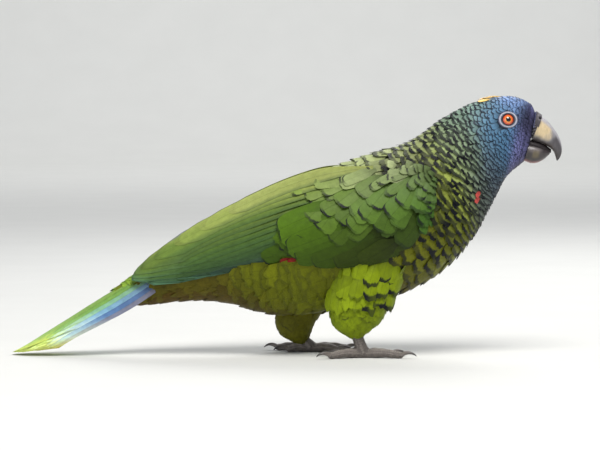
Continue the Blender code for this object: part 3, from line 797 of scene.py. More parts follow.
def thigh_vanes(side):
    """The feathers of one thigh, which lie downwards and shorten towards the foot."""
    surface = THIGH_FACE[side]
    turns = np.linspace(0, 2 * math.pi, 121)
    found = []
    row, odd = THIGH_TOP, 0
    while row < THIGH_END:
        space = 6.4 - 0.95 * max(row - 1.2, 0)
        ring = surface.point(np.full(len(turns), row), turns)
        turn, width = ring_of_roots(ring, turns, space * 1.25, odd, 0.2)
        rows = row + 0.08 * rng.standard_normal(len(turn))
        found.append(np.stack([rows, turn, np.full(len(turn), space), np.full(len(turn), width)]))
        slope = np.linalg.norm(surface.slopes(np.array([row]), np.array([1.5]))[0])
        row, odd = row + 0.8 * space / slope, odd + 1
    row, turn, space, width = np.concatenate(found, 1)
    way = surface.slopes(row, turn)[0] + points(-5.0, 0, 0)
    barred = np.where((rng.random(len(row)) < 0.2) & (row < 2.6), 0.6, 0.10)
    patch = np.stack([MAP_EDGE + MAP_SPAN * row / (len(THIGHS[side]) - 1),
                      MAP_EDGE + 0.90 * turn / (2 * math.pi)], 1)
    length = space * (2.8 + 0.3 * rng.standard_normal(len(row)))
    return vanes(surface, row, turn, way, length, width * 0.66, 0.6 + 0.2 * space, thigh_tint_and_shade(side, row),
                 (barred, np.full(len(row), 0.10)), patch, crown=0.3, roll=0.25, curl=0.1, jag=0.045,
                 stray=0.14, tip_only=0.7, fluff=0.35, **BROAD)


# Rows of flank feathers over each thigh: row of their tips on the thigh, how many, how far up they reach.
CAPE = [(2.1, 9, 22.0), (1.4, 8, 20.0), (0.75, 7, 18.0)]


def cape_vanes(side):
    """Long flank feathers that hang from the body over the top of a thigh."""
    surface, sign = THIGH_FACE[side], SIDE[side]
    turns = np.linspace(40, 175, 70) * sign * DEG
    at, turn = (g.ravel() for g in np.meshgrid(np.linspace(5.6, 8.8, 81), turns))
    skin = body_point(at, turn)
    tree = search_tree(skin)
    groups = []
    for row, count, reach in CAPE:
        turn = sign * (90 + np.linspace(-84, 84, count) + 5 * rng.standard_normal(count)) * DEG
        rows = row + 0.10 * rng.standard_normal(count)
        tip = surface.point(rows, turn) + surface.normal(rows, turn) * 1.4
        near = [tree.find(spot)[1] for spot in tip + points(5.0, 0, reach)]
        root = skin[near] - 1.5 * BODY_FACE.normal(at[near], np.full(len(near), sign * 100 * DEG))
        out = unit(surface.normal(rows, turn) + points(0, 0.6 * sign, 0.2))
        front = smooth(tip[:, 0], 44, 62)
        edge = (0.2 + 0.8 * front, 0.05 + 0.13 * front)
        patch = np.stack([0.1 + 0.8 * (np.arange(count) + row) / 10, np.full(count, 0.96)], 1)
        groups.append(hung_vanes(root, tip, out, 6.3, thigh_tint_and_shade(side, rows), edge, patch))
    return groups


def hung_vanes(root, tip, out, half, tint, edge, patch):
    """Feathers along bowed lines from root to tip, with given outward directions at the tip."""
    count = len(root)
    u = MEDIUM[None, :, None]
    bend = (root + tip)[:, None] / 2 + out[:, None] * 2.4
    line = (1 - u) ** 2 * root[:, None] + 2 * u * (1 - u) * bend + u ** 2 * tip[:, None]
    run = unit(np.gradient(line, axis=1))
    across = unit(np.cross(np.broadcast_to(out[:, None], run.shape), run))
    up = np.cross(run, across)
    w, span = fan(count, 9, BODY_FULL, BODY_SQUARE, 0.05)
    shape = fullness(MEDIUM, 0.5)
    length = np.linalg.norm(tip - root, axis=1)[:, None, None]
    slip = length * MEDIUM[:, None] * (span[:, None] - 1)
    rise = shape[:, None] * (0.5 - 2.2 * w ** 2)
    found = (line[:, :, None] + across[:, :, None] * (half * shape[:, None] * w)[None, ..., None]
             + run[:, :, None] * slip[..., None] + up[:, :, None] * rise[None, ..., None])
    shade = 1 - 0.25 * (1 - smooth(MEDIUM, 0.1, 0.5))[None, :, None, None]
    tint = tint[:, None, None] * shade * (1 + 0.08 * rng.standard_normal(count))[:, None, None, None]
    tint = np.broadcast_to(tint, found.shape)
    marks = np.stack([edge[0], edge[1], np.full(count, 0.25), rng.random(count)], 1)
    return dict(points=found, uv=shape_map(shape, w, span, MEDIUM), tint=tint, marks=marks, patch=patch)


for side in SIDE:
    coat("thigh_coat_" + side, [thigh_vanes(side)] + cape_vanes(side), body_feather, "body_feathers")


# ---------------------------------------------------------------- wings

def wing_finder(side, reach=0.9):
    """Finds the wing's station and share for places seen from the side. Places off the wing are left out."""
    at, share = (g.ravel() for g in np.meshgrid(np.linspace(0, 8, 321), np.linspace(0, 1, 101)))
    tree = search_tree(WING_FACE[side].point(at, share) * SEEN_FROM_SIDE)

    def find(x, z):
        found = [tree.find(spot) for spot in points(x, 0, z)]
        near = [index for _, index, far in found if far < reach]
        return at[near], share[near]
    return find


def droop(at, share):
    """How far below level the wing's feathers point, in radians."""
    middle = np.interp(at, [0.3, 1, 2, 3, 4, 5], [84, 74, 60, 54, 42, 34])
    top = np.interp(at, [0.5, 1.5, 2.5, 3.5, 5], [50, 20, 8, 14, 24])
    low = np.interp(at, [0.5, 1.5, 3, 5], [80, 50, 32, 28])
    t, b = 1 - smooth(share, 0.10, 0.38), smooth(share, 0.66, 0.9)
    return DEG * (middle * (1 - t) * (1 - b) + top * t + low * b)


# Wing coverts: space along a row, space between rows, length, half width, lift, and where their tips lie by
# station a and share s of the way down.
WING_ZONES = {
    "greater": (13.0, 18.0, 50.0, 9.0, -1.2,
                lambda a, s: ((s > 0.66) & (a > 1.0) | (a > 3.2) & (s > 0.24)) & (a < 4.5)),
    "median": (13.5, 12.5, 30.0, 8.4, -0.3,
               lambda a, s: (a > 1.5) & (a < 3.9) & (s > 0.12) & (s < 0.78)),
    "small": (8.5, 7.5, 19.0, 5.4, 0.0,
              lambda a, s: (a > 0.7) & (a < 1.75) & (s > 0.08) | (a > 1.6) & (a < 2.6) & (s < 0.18)),
    "bend": (5.6, 5.0, 13.0, 3.6, 0.2,
             lambda a, s: (a < 0.9) | (a < 1.9) & (s < 0.16)),
    "scapular": (12.5, 14.0, 36.0, 7.6, 0.4,
                 lambda a, s: (a > 2.5) & (a < 4.3) & (s > 0.05) & (s < 0.26)),
}
# Great coverts: x, z of the tip, degrees below level, length.
GREAT_COVERTS = [
    (-6.5, 97.0, 24, 50.0), (-4.5, 89.5, 25, 56.0), (0.0, 82.0, 26, 58.0), (7.0, 75.5, 27, 58.0),
    (20.0, 71.5, 28, 52.0), (37.0, 71.0, 30, 44.0), (55.0, 72.5, 33, 34.0),
]
COVERT_ROWS = 35 * DEG                   # slant of the covert rows
COVERT_MIDDLE = (50, 110)                # x, z that the rows are counted from
WING_FULL, WING_SQUARE = 0.82, 2.8       # coverts end bluntly


def covert_vanes(side, find, width, space, length, half, lift, inside):
    """The coverts of one zone of a wing, in staggered rows across the way they point."""
    surface = WING_FACE[side]
    i, k = (g.ravel() for g in np.meshgrid(np.arange(-30, 31), np.arange(-40, 41)))
    a = (i + 0.5 * (k % 2) + 0.15 * rng.standard_normal(len(i))) * width
    b = (k + 0.15 * rng.standard_normal(len(i))) * space
    x = COVERT_MIDDLE[0] + a * math.cos(COVERT_ROWS) - b * math.sin(COVERT_ROWS)
    z = COVERT_MIDDLE[1] - a * math.sin(COVERT_ROWS) - b * math.cos(COVERT_ROWS)
    at, share = find(x, z)
    upper_edge = np.where(at > 2.8, 0.12, 0.03)     # tips past it would stand up over the back
    keep = inside(at, share) & (share > upper_edge) & (share < 0.975)
    at, share = at[keep], share[keep]
    angle = droop(at, share) + 0.12 * rng.standard_normal(len(at))
    way = points(-np.cos(angle), 0, -np.sin(angle))
    tint, edge, band = plumage(WING_PLUMAGE, WING_BLEND, at, share)
    size = 1 + 0.13 * rng.standard_normal(len(at))
    edge = edge * np.where(rng.random(len(at)) < 0.85, 1.0, 0.5)
    # A root stays on the wing, and a feather below the upper edge is no wider than the room above it.
    back, up = surface.step(at, share, way)
    room = np.minimum((share - 0.07) / np.maximum(up, 1e-6), (at - 0.1) / np.maximum(back, 1e-6))
    length = np.minimum(length * size, np.maximum(room, 7.0))
    tall = np.linalg.norm(surface.point(at, np.ones_like(at)) - surface.point(at, np.zeros_like(at)), axis=1)
    above = (share - np.maximum(up, 0) * length - 0.03) * tall
    half = np.minimum(half * size, np.maximum(above, 4.0))
    patch = np.stack([MAP_EDGE + 0.1 * at + 0.01 * (lift + 1), MAP_EDGE + 0.9 * share], 1)
    return vanes(surface, at, share, way, length, half, np.full(len(at), 3.4), tint, (edge, band), patch,
                 rows=FINE, cols=15, crown=0.5, roll=0.35, lift=lift, tip_only=0.9, from_tip=True,
                 full=WING_FULL, square=WING_SQUARE, fluff=0.3, jag=0.012, within=(0.06, 0.97))


def great_vanes(side, find):
    """The long great coverts along the lower edge of the wing, set by the places of their tips."""
    x, z, angle, length = np.array(GREAT_COVERTS).T
    at, share = find(x, z)
    count = len(at)
    way = points(-np.cos(angle * DEG), 0, -np.sin(angle * DEG))
    tint, edge, band = plumage(WING_PLUMAGE, WING_BLEND, at, np.maximum(share, 0.8))
    tint = tint * (1 + 0.5 * smooth(np.arange(count), 3, 0))[:, None]
    patch = np.stack([0.05 + 0.1 * at, MAP_EDGE + 0.9 * share], 1)
    return vanes(WING_FACE[side], at, share, way, length, np.full(count, 9.0), np.full(count, 2.4), tint,
                 (edge, band * 0.6), patch, rows=FINE, cols=15, crown=0.6, roll=0.5, lift=0.1, tip_only=0.9,
                 from_tip=True, full=WING_FULL, square=WING_SQUARE, fluff=0.25, jag=0.008, stray=0.02)


def red_vanes(side):
    """The red patch that shows between the great coverts and the body."""
    at, share = np.array([3.74, 3.86]), np.array([0.955, 0.965])
    way = np.tile((-0.9, 0, -0.30), (2, 1))
    return vanes(WING_FACE[side], at, share, way, np.full(2, 9.0), np.full(2, 2.8), np.full(2, 1.5),
                 np.tile(linear((130, 28, 20)), (2, 1)), (np.full(2, 0.3), np.full(2, 0.1)),
                 np.stack([0.9 + 0.02 * np.arange(2), np.full(2, 0.97)], 1), rows=MEDIUM, cols=9, lift=-0.9)


# ---------------------------------------------------------------- flight feathers

LONG_FULL, LONG_SQUARE = 0.86, 2.0
LONG_THICK = 0.10                        # of a flight or tail feather's vane
QUILL = np.array([-1.0, -0.75, -0.5, -0.25, -0.07, 0.0, 0.07, 0.25, 0.5, 0.75, 1.0])    # places across it


def long_vanes(surface, p, q, half, low, tint, edge, crown, root=0.25):
    """Flight or tail feathers along given centre lines, as thin shells with a raised shaft. Low is the height
    of their edges over the surface."""
    count = len(p)
    rows = LONG
    span = np.tile(tip_line(QUILL, LONG_FULL, LONG_SQUARE), (count, 1))
    shape = fullness(rows, root)
    ridge = 0.08 * np.exp(-(QUILL / 0.06) ** 2) * (1 - rows[:, None] ** 4)
    hump = shape[:, None] * crown * (1 - QUILL ** 2) * (1 - 0.6 * rows[:, None] ** 3)
    rise = low[..., None] + hump + ridge
    length = np.linalg.norm(np.diff(surface.point(p, q), axis=1), axis=-1).sum(1)
    slip = length[:, None, None] * rows[:, None] * (span[:, None] - 1)
    wide = half[:, None] * shape
    over = lay(surface, p, q, wide, rise, QUILL, slip)
    under = lay(surface, p, q, wide, rise - LONG_THICK, QUILL, slip)
    found = np.concatenate([over, under[:, :, ::-1]], 2)
    uv = shape_map(shape, QUILL, span, rows)
    uv = np.concatenate([uv, uv[:, :, ::-1]], 2)
    tint = np.concatenate([tint, tint[:, :, ::-1]], 2)
    patch = np.stack([(np.arange(count) + 0.5) / count, np.full(count, 0.5)], 1)
    marks = np.stack([edge[0], edge[1], np.full(count, 0.3), rng.random(count)], 1)
    return dict(points=found, uv=uv, tint=tint, marks=marks, patch=patch,
                patch_size=np.array([0.8 / count, MAP_SPAN]), shell=True)


# The long feathers that show on each closed wing, from the top edge down.
FLIGHT_WEBS = [
    (152, 162, 88), (146, 160, 80), (132, 150, 70), (104, 128, 54), (98, 120, 50), (94, 118, 46),
    (86, 114, 44), (80, 110, 44), (76, 106, 44), (70, 100, 48), (66, 94, 54), (68, 94, 70), (44, 62, 60),
]
FLIGHTS = len(FLIGHT_WEBS)


def flight_vanes(side):
    """Tertials, secondaries and primaries of one closed wing, each lying under the one above."""
    s = np.linspace(0, 1, FLIGHTS)
    keys = [0, 0.2, 0.4, 0.55, 0.78, 1]
    root_share = 0.07 + 0.84 * s
    tip_at = np.interp(s, keys, [5.25, 6.5, 7.7, 7.95, 6.9, 5.7])
    tip_share = np.interp(s, keys, [0.10, 0.16, 0.30, 0.55, 0.86, 0.92])
    half = np.interp(s, [0, 0.3, 0.6, 1], [8.0, 8.5, 7.5, 5.0])
    u = LONG
    root_at = np.interp(s, [0, 0.3, 1], [2.8, 3.3, 3.6])
    p = root_at[:, None] + (tip_at - root_at)[:, None] * u
    q = root_share[:, None] + (tip_share - root_share)[:, None] * u ** 1.3
    low = (0.2 - 0.27 * np.arange(FLIGHTS))[:, None] - 2.6 * (1 - smooth(u, 0, 0.4))
    down = (QUILL if side == "right" else -QUILL) * 0.5 + 0.5
    web = np.broadcast_to(linear(np.array(FLIGHT_WEBS))[:, None, None], (FLIGHTS, len(u), len(QUILL), 3))
    feather, ahead = s[:, None, None], u[:, None]
    upper_web = (1 - smooth(down, 0.0, 0.35)) * 0.35
    lower_edge = smooth(down, 0.75, 1.0) * 0.6
    violet_line = np.exp(-((feather - 0.25) / 0.05) ** 2) * (1 - smooth(down, 0.0, 0.1))
    blue_tip = smooth(ahead, 0.8, 1.0) * smooth(feather, 0.3, 0.6) * 0.45
    tint = lay_tints(web, ((176, 182, 96), upper_web), ((54, 84, 52), lower_edge),
                     ((120, 122, 140), violet_line), ((84, 128, 112), blue_tip))
    edge = (0.15 + 0.45 * s, np.full(FLIGHTS, 0.04))
    return long_vanes(WING_FACE[side], p, q, half, low, tint, edge, crown=0.12)


wing_feather = feather_finish("wing_feather", 30.0, rough=0.46, full=WING_FULL, square=WING_SQUARE)
long_feather = feather_finish("long_feather", 90.0, rough=0.42, full=LONG_FULL, square=LONG_SQUARE)

for side in SIDE:
    find = wing_finder(side)
    groups = [covert_vanes(side, find, *zone) for zone in WING_ZONES.values()] + [great_vanes(side, find)]
    coat("wing_covert_coat_" + side, groups + [red_vanes(side)], wing_feather, "wing_feathers",
         "wing_coverts_" + side)
    coat("flight_feathers_" + side, [flight_vanes(side)], long_feather, "wing_feathers",
         "secondaries_" + side, "primaries_" + side)


# ---------------------------------------------------------------- tail

# Tints of the outer web at the root, middle, end and tip, for each pair from the middle of the tail out.
TAIL_WEBS = [
    ((140, 172, 80), (136, 176, 84), (158, 196, 100), (214, 228, 110)),
    ((130, 170, 80), (130, 176, 88), (160, 206, 124), (214, 232, 116)),
    ((118, 150, 120), (146, 200, 160), (216, 246, 204), (222, 236, 112)),
    ((104, 118, 138), (138, 186, 214), (224, 248, 236), (226, 238, 112)),
    ((80, 86, 112), (100, 138, 188), (200, 232, 232), (228, 238, 118)),
    ((120, 116, 128), (142, 146, 168), (212, 224, 206), (226, 222, 96)),
]
TAIL_PAIRS = len(TAIL_WEBS)
TAIL_ROOT = 0.4                          # station that the tail feathers start from


def tail_webs():
    """Each pair's outer web tint along the feather."""
    webs = linear(np.array(TAIL_WEBS))
    keys = [0.0, 0.45, 0.75, 1.0]
    return np.array([[np.interp(LONG, keys, web[:, c]) for c in range(3)] for web in webs]).transpose(0, 2, 1)


def tail_vanes():
    """Pairs of tail feathers on the arch, the middle pair on top. Each half takes half of the baking map."""
    u, k = LONG, np.arange(TAIL_PAIRS)
    webs = np.repeat(tail_webs()[:, :, None], len(QUILL), 2)
    edge = (np.full(TAIL_PAIRS, 0.35), np.full(TAIL_PAIRS, 0.05))
    groups = []
    for side in (-1, 1):
        root = side * DEG * (6 + 14.5 * k)
        tip = side * DEG * (9 + 13.0 * k)
        tip_at = 6.98 - 0.20 * k
        p = TAIL_ROOT + (tip_at - TAIL_ROOT)[:, None] * u
        q = root[:, None] + (tip - root)[:, None] * u
        low = (0.1 - 0.36 * k - (0.15 if side > 0 else 0.0))[:, None]
        outer = (QUILL if side < 0 else -QUILL) * 0.5 + 0.5
        inner_web = (1 - smooth(outer, 0.3, 0.5)) * (1 - smooth(u, 0.7, 1.0))[:, None] * 0.6
        tint = lay_tints(webs, ((120, 172, 84), inner_web))
        group = long_vanes(TAIL_FACE, p, q, 7.4 - 0.35 * k, low, tint, edge, crown=0.22, root=0.5)
        group["patch"] = group["patch"] * (0.5, 1) + (0.0 if side < 0 else 0.5, 0)
        group["patch_size"] = group["patch_size"] * (0.5, 1)
        groups.append(group)
    return groups


coat("tail_feathers", tail_vanes(), long_feather, "tail_feathers", "tail_middle", "tail_right", "tail_left")


# ---------------------------------------------------------------- skin and feet

def foot_paths(name):
    """The middle line and radii of a foot's shank, and the same for each toe with the way it points."""
    x, y = FEET[name]
    outward = SIDE[name]
    pad = np.array([x, y, PAD_MIDDLE])
    end = THIGHS[name][-1]
    top = np.array([end[0], end[1], end[2] + 4.0])
    t = np.linspace(0, 1, 8)[:, None]
    shank = top + (pad - top) * t, SHANK_RADIUS + (PAD_RADIUS - SHANK_RADIUS) * smooth(t[:, 0], 0.6, 1.0)
    toes = {}
    for toe, angle, length in TOES:
        a = angle * DEG * outward
        ahead = np.array([math.cos(a), math.sin(a), 0.0])
        t = np.linspace(-0.1, 1.0, 34)
        base = TOE_ROOT + (TOE_TIP - TOE_ROOT) * t
        joints = 1 + 0.07 * np.cos(2 * math.pi * 3 * t)
        radius = base * joints * np.where(t > 0.9, 1 - 3.4 * (t - 0.9), 1.0)
        height = base - 0.5 + 1.1 * np.sin(math.pi * np.clip(t, 0, 1)) ** 2
        path = np.array([x, y, 0.0]) + ahead * (1.5 + length * t)[:, None] + points(0, 0, height)
        toes[toe] = (path, radius, ahead)
    return shank, toes


def tube_rings(path, radius, sides=20, flat=1.0):
    """Rings of a tube along a path. Flat squeezes the underside."""
    run = unit(np.gradient(path, axis=0))
    across = np.cross(run, (0.0, 0.0, 1.0))
    thin = np.linalg.norm(across, axis=1, keepdims=True) < 0.2
    across = unit(np.where(thin, (0.0, 1.0, 0.0), across))
    up = np.cross(across, run)
    a = np.linspace(0, 2 * math.pi, sides, endpoint=False)
    c, s = np.cos(a)[None, :, None], np.sin(a)[None, :, None]
    s = np.where(s < 0, s * flat, s)
    return path[:, None] + (across[:, None] * c + up[:, None] * s) * radius[:, None, None]


WING_FLESH = (4.6, 9.0)     # depths between which the wing's flesh lies under its face


def skin_forms():
    """Closed forms under the coat, which the skin is drawn over: body, thighs, wings, shanks and toes."""
    forms = []
    at, turn = np.meshgrid(np.linspace(-0.25, 11.0, 150), np.linspace(0, 2 * math.pi, 72, endpoint=False),
                           indexing="ij")
    inset = along(COAT, at)[..., 0] + 0.35
    forms.append(body_point(at, turn) - BODY_FACE.normal(at, turn) * inset[..., None])
    for side, surface in THIGH_FACE.items():
        row, turn = np.meshgrid(np.linspace(0, 5, 50), np.linspace(0, 2 * math.pi, 40, endpoint=False),
                                indexing="ij")
        inset = np.minimum(1.4 + 0.3 * (6.2 - 0.85 * np.maximum(row - 1.5, 0)), 3.0)
        forms.append(surface.point(row, turn) - surface.normal(row, turn) * inset[..., None])
        wing = WING_FACE[side]
        at, across = np.meshgrid(np.linspace(0.12, 4.7, 40), np.linspace(0.06, 0.94, 24), indexing="ij")
        place, normal = wing.point(at, across), wing.normal(at, across)
        near, deep = (place - normal * depth for depth in WING_FLESH)
        forms.append(np.concatenate([near, deep[:, ::-1]], 1))
        shank, toes = foot_paths(side)
        forms.append(tube_rings(*shank))
        x, y = FEET[side]
        a = np.linspace(0.06, math.pi - 0.06, 14)
        forms.append(tube_rings(points(x, y, PAD_MIDDLE + PAD_RADIUS * np.cos(a)), PAD_RADIUS * np.sin(a)))
        forms += [tube_rings(path, radius) for path, radius, _ in toes.values()]
    return forms


def skin_finish():
    """The skin: its tint darkened as painted shade under the coat, and scaly where the marks say bare leg."""
    f = Finish("skin", Roughness=0.62, Specular_IOR_Level=0.4)
    tint, scaly = f.attribute("tint").outputs["Color"], f.attribute("marks").outputs["Color"]
    spot = f.spot()
    cells = f.node("TexVoronoi", spot, feature="DISTANCE_TO_EDGE")
    cells.inputs["Scale"].default_value = 900.0
    groove = f.ease(cells.outputs["Distance"], 0.0, 0.16)
    blotch = f.math("MULTIPLY_ADD", f.noise(spot, 500.0, 4.0), 0.7, 0.62)
    legs = f.split(scaly)[0]
    darker = f.math("MULTIPLY", legs, f.math("MULTIPLY_ADD", groove, -0.5, 0.5))
    shade = f.math("MULTIPLY", blotch, f.math("SUBTRACT", 1.0, darker))
    f.colour(f.mix(1.0, tint, f.grey(shade), "MULTIPLY"))
    f.bump(f.math("MULTIPLY", groove, legs), 0.7, 0.0004)
    return f.material


SKIN_VOXEL = 0.00115        # metres
# Painted shade: the skin under the coat takes the plumage's tints at this share of their lightness.
UNDER_COAT_SHADE = 0.22           # how light the skin is beside the feathers over it


def joined_forms(material):
    """The forms under the coat as one mesh, each facing outwards."""
    verts, faces, offset = [], [[], []], 0
    for rings in skin_forms():
        flat = rings.reshape(-1, 3)
        parts = ring_faces(*rings.shape[:2])
        if volume(flat, parts) < 0:
            parts = [f[:, ::-1] for f in parts]
        verts.append(flat)
        faces[0].append(parts[0] + offset)
        faces[1].append(parts[1] + offset)
        offset += len(flat)
    return plain_mesh("forms", np.concatenate(verts), [np.concatenate(faces[0])] + faces[1], material)


def bare_leg(place):
    """How much of each point of the skin is bare leg, from 0 to 1."""
    leg = np.zeros(len(place))
    for side, (x, y) in FEET.items():
        height = THIGHS[side][-1][2]
        far = np.hypot(place[:, 0] - x, place[:, 1] - y)
        low = 1 - smooth(place[:, 2], height - 1, height + 6)
        leg = np.maximum(leg, low * (far < FOOT_REACH))
    return leg


def skin_tint(place, leg):
    """The plumage's tints, darkened as painted shade under the coat, and grey on the bare legs."""
    at, turn = (g.ravel() for g in np.meshgrid(np.linspace(0, 11, 80), np.linspace(-math.pi, math.pi, 49)))
    tree = search_tree(body_point(at, turn))
    near = np.array([tree.find(spot)[1] for spot in place])
    # Painted shade under the coat: the plumage's tint, darkened.
    tint = body_plumage(at, turn)[0][near] * UNDER_COAT_SHADE
    knob = 0.5 + 0.5 * np.sin(place[:, 0] * 1.3) * np.sin(place[:, 1] * 1.1)
    grey = linear((128, 120, 114)) * (0.8 + 0.3 * knob[:, None])
    return tint * (1 - leg[:, None]) + grey * leg[:, None]


def make_skin():
    """One skin over the whole body, drawn by a voxel remesh and kept above the floor."""
    material = skin_finish()
    form = put_in_scene("forms", joined_forms(material))
    remesh = form.modifiers.new("remesh", "REMESH")
    remesh.mode, remesh.voxel_size = "VOXEL", SKIN_VOXEL
    soften = form.modifiers.new("soften", "SMOOTH")
    soften.factor, soften.iterations = 0.5, 3
    skin = finished_mesh(form)
    skin.name = "skin"
    co = np.empty(len(skin.vertices) * 3, np.float32)
    skin.vertices.foreach_get("co", co)
    co = co.reshape(-1, 3)
    co[:, 2] = np.maximum(co[:, 2], 0)
    skin.vertices.foreach_set("co", co.ravel())
    place = co / MM
    leg = bare_leg(place)
    paint(skin, "tint", skin_tint(place, leg))
    paint(skin, "marks", np.repeat(leg[:, None], 3, 1))
    skin.materials.clear()
    skin.materials.append(material)
    skin.shade_smooth()
    add_piece("skin", skin, "body_feathers", "head", "neck", "trunk", "tail_coverts", "thigh_right",
              "thigh_left", "foot_right", "foot_left")


make_skin()


# ---------------------------------------------------------------- horn, bare skin and eyes

def horn_finish(name, rough, stretch, coat_weight=0.25):
    """Horn: its tint with growth streaks and fine scratches."""
    f = Finish(name, Roughness=rough, Specular_IOR_Level=0.5, Coat_Weight=coat_weight, Coat_Roughness=0.3)
    tint, spot = f.attribute("tint").outputs["Color"], f.spot()
    streak = f.noise(f.stretch(spot, stretch), 420.0, 5.0, 0.6)
    fleck = f.noise(spot, 1600.0, 3.0)
    light = f.math("ADD", f.math("MULTIPLY_ADD", streak, 0.9, 0.5), f.math("MULTIPLY_ADD", fleck, 0.3, -0.1))
    f.colour(f.mix(1.0, tint, f.grey(light), "MULTIPLY"))
    f.bump(f.math("ADD", streak, f.math("MULTIPLY", fleck, 0.3)), 0.35, 0.0003)
    return f.material


def flesh_finish(name, rough=0.55):
    """Bare skin: its tint with pores and fine wrinkles."""
    f = Finish(name, Roughness=rough, Specular_IOR_Level=0.4)
    tint, spot = f.attribute("tint").outputs["Color"], f.spot()
    wrinkle = f.noise(f.stretch(spot, (1.0, 1.0, 2.6)), 900.0, 6.0, 0.65)
    pores = f.node("TexVoronoi", spot)
    pores.inputs["Scale"].default_value = 1500.0
    pit = pores.outputs["Distance"]
    light = f.math("ADD", f.math("MULTIPLY_ADD", wrinkle, 0.8, 0.5), f.math("MULTIPLY", pit, 0.25))
    f.colour(f.mix(1.0, tint, f.grey(light), "MULTIPLY"))
    f.bump(f.math("ADD", wrinkle, f.math("MULTIPLY", pit, 0.5)), 0.6, 0.0003)
    return f.material


def pair_rings(table, at, sides, narrow=0.0, square=2.0):
    """Rings between a top and a bottom line, and their turns. Narrow thins the top, square flattens the
    sides."""
    tx, tz, bx, bz, width = columns(table, at[:, None])
    a = np.linspace(0, 2 * math.pi, sides, endpoint=False)
    c, s = np.cos(a), np.sin(a)
    size = (np.abs(c) ** square + np.abs(s) ** square) ** (-1 / square)
    c, s = c * size, s * size
    rings = points((tx + bx) / 2 + (tx - bx) / 2 * c, width * s * (1 - narrow * c),
                   (tz + bz) / 2 + (tz - bz) / 2 * c)
    return rings, a


horn = horn_finish("bill_horn", 0.36, (1.0, 1.0, 0.35))
claw_horn = horn_finish("claw_horn", 0.3, (0.5, 0.5, 1.4), 0.4)
flesh = flesh_finish("bare_skin")


def make_upper_bill():
    """The hooked upper bill: pale at the sides near the base, with a dark tip and a lighter ridge."""
    at = np.concatenate([np.linspace(-0.85, 6.2, 74), np.linspace(6.3, 7, 12)])
    rings, turn = pair_rings(UPPER_BILL, at, 72, narrow=0.14, square=2.25)
    t, c = at[:, None], np.cos(turn)[None, :]
    rings = rings + points(0, 0, 0.06 * np.sin(9 * t + 2.5 * c) * smooth(t, 0.3, 2.0))
    cloud = 0.5 * np.sin(2.3 * t + 3.1 * c) + 0.35 * np.sin(5.1 * t - 4.0 * c)
    base = (1 - smooth(t + 0.4 * cloud, 1.3, 2.5)) * smooth(c, 0.90, 0.6) * smooth(c, -0.75, -0.35)
    tint = blend_tints(
        (150, 148, 152),
        ((206, 186, 148), base),
        ((80, 76, 80), smooth(t + 0.9 * (0.6 - c) + 0.35 * cloud, 2.3, 3.8)),
        ((60, 56, 58), smooth(t + 0.5 * (1 - c), 4.6, 6.2)),                            # tip
        ((72, 64, 62), (1 - smooth(c + 0.1 * cloud, -0.8, -0.35)) * 0.85),              # cutting edge
        ((176, 173, 178), smooth(c, 0.50, 0.80) * (1 - smooth(t, 3.4, 5.0)) * 0.92))    # ridge
    add_piece("upper_bill_horn", ring_mesh("upper_bill_horn", rings, horn, tint), "horn", "upper_bill")


def make_lower_bill():
    """The lower bill: dark, with a reddish base underneath."""
    at = np.linspace(-0.7, 4.0, 44)
    rings, turn = pair_rings(LOWER_BILL, at, 64, narrow=-0.10, square=2.3)
    t, c = at[:, None], np.cos(turn)[None, :]
    s = np.abs(np.sin(turn))[None, :]
    cloud = np.sin(4.0 * t + 3.0 * c)
    tint = blend_tints(
        (58, 53, 54),
        ((112, 105, 104), smooth(s, 0.55, 0.9) * smooth(c, -0.1, 0.5) * (1 - smooth(t, 1.4, 2.6))),
        ((124, 112, 78), smooth(s, 0.85, 1.0) * smooth(t, 0.6, 1.0) * (1 - smooth(t, 1.5, 2.1)) * 0.5),
        ((62, 54, 56), smooth(t + 0.3 * cloud, 1.9, 3.2)),
        ((40, 36, 40), smooth(c, 0.75, 0.95) * 0.9),                                    # cutting edge
        ((134, 70, 66), (1 - smooth(c, -0.95, -0.6)) * (1 - smooth(t, 1.6, 3.2)) * 0.85))
    add_piece("lower_bill_horn", ring_mesh("lower_bill_horn", rings, horn, tint), "horn", "lower_bill")


def make_tongue():
    rings, _ = pair_rings(TONGUE, np.linspace(0, 4, 30), 36)
    # Painted shade: the tongue is near-black, for the dark gap between the bills.
    add_piece("tongue", ring_mesh("tongue", rings, flesh, linear((34, 26, 28))), "bare_skin")


def make_cere():
    """The cere round the top of the bill: a swollen rim with a painted highlight, and a near-black pit at
    each nostril as painted shade.
    """
    at = np.concatenate([np.linspace(-0.5, 1.0, 40), np.linspace(1.02, 1.16, 8)])
    rings, turn = pair_rings(CERE, at, 120)
    middle = rings.mean(1, keepdims=True)
    front = smooth(at, 1.0, 1.16)[:, None, None] * 0.10
    under = 0.16 * (1 - smooth(np.cos(turn), -0.25, 0.45))[None, :, None]
    rings = rings + (middle - rings) * (front + under)
    nostrils = [np.array([NOSTRIL[0], side * NOSTRIL[1], NOSTRIL[2]]) for side in (-1, 1)]
    for spot in nostrils:
        far = np.linalg.norm(rings - spot, axis=-1)
        swell = 0.85 * np.exp(-((far - 2.0) / 1.0) ** 2) - 1.9 * np.exp(-(far / 1.15) ** 2)
        rings = rings + unit(rings - middle) * swell[..., None]
    near = np.min([np.linalg.norm(rings - spot, axis=-1) for spot in nostrils], axis=0)
    # Painted shade: near-black nostril pits. Painted highlight: a lighter ring on the swollen rims.
    tint = blend_tints((70, 66, 70), ((16, 13, 15), 1 - smooth(near, 0.6, 1.9)),
                       ((118, 114, 120), np.exp(-((near - 2.3) / 0.6) ** 2) * 0.6))
    add_piece("cere_flesh", ring_mesh("cere_flesh", rings, flesh, tint, sharp=90.0), "bare_skin", "cere")


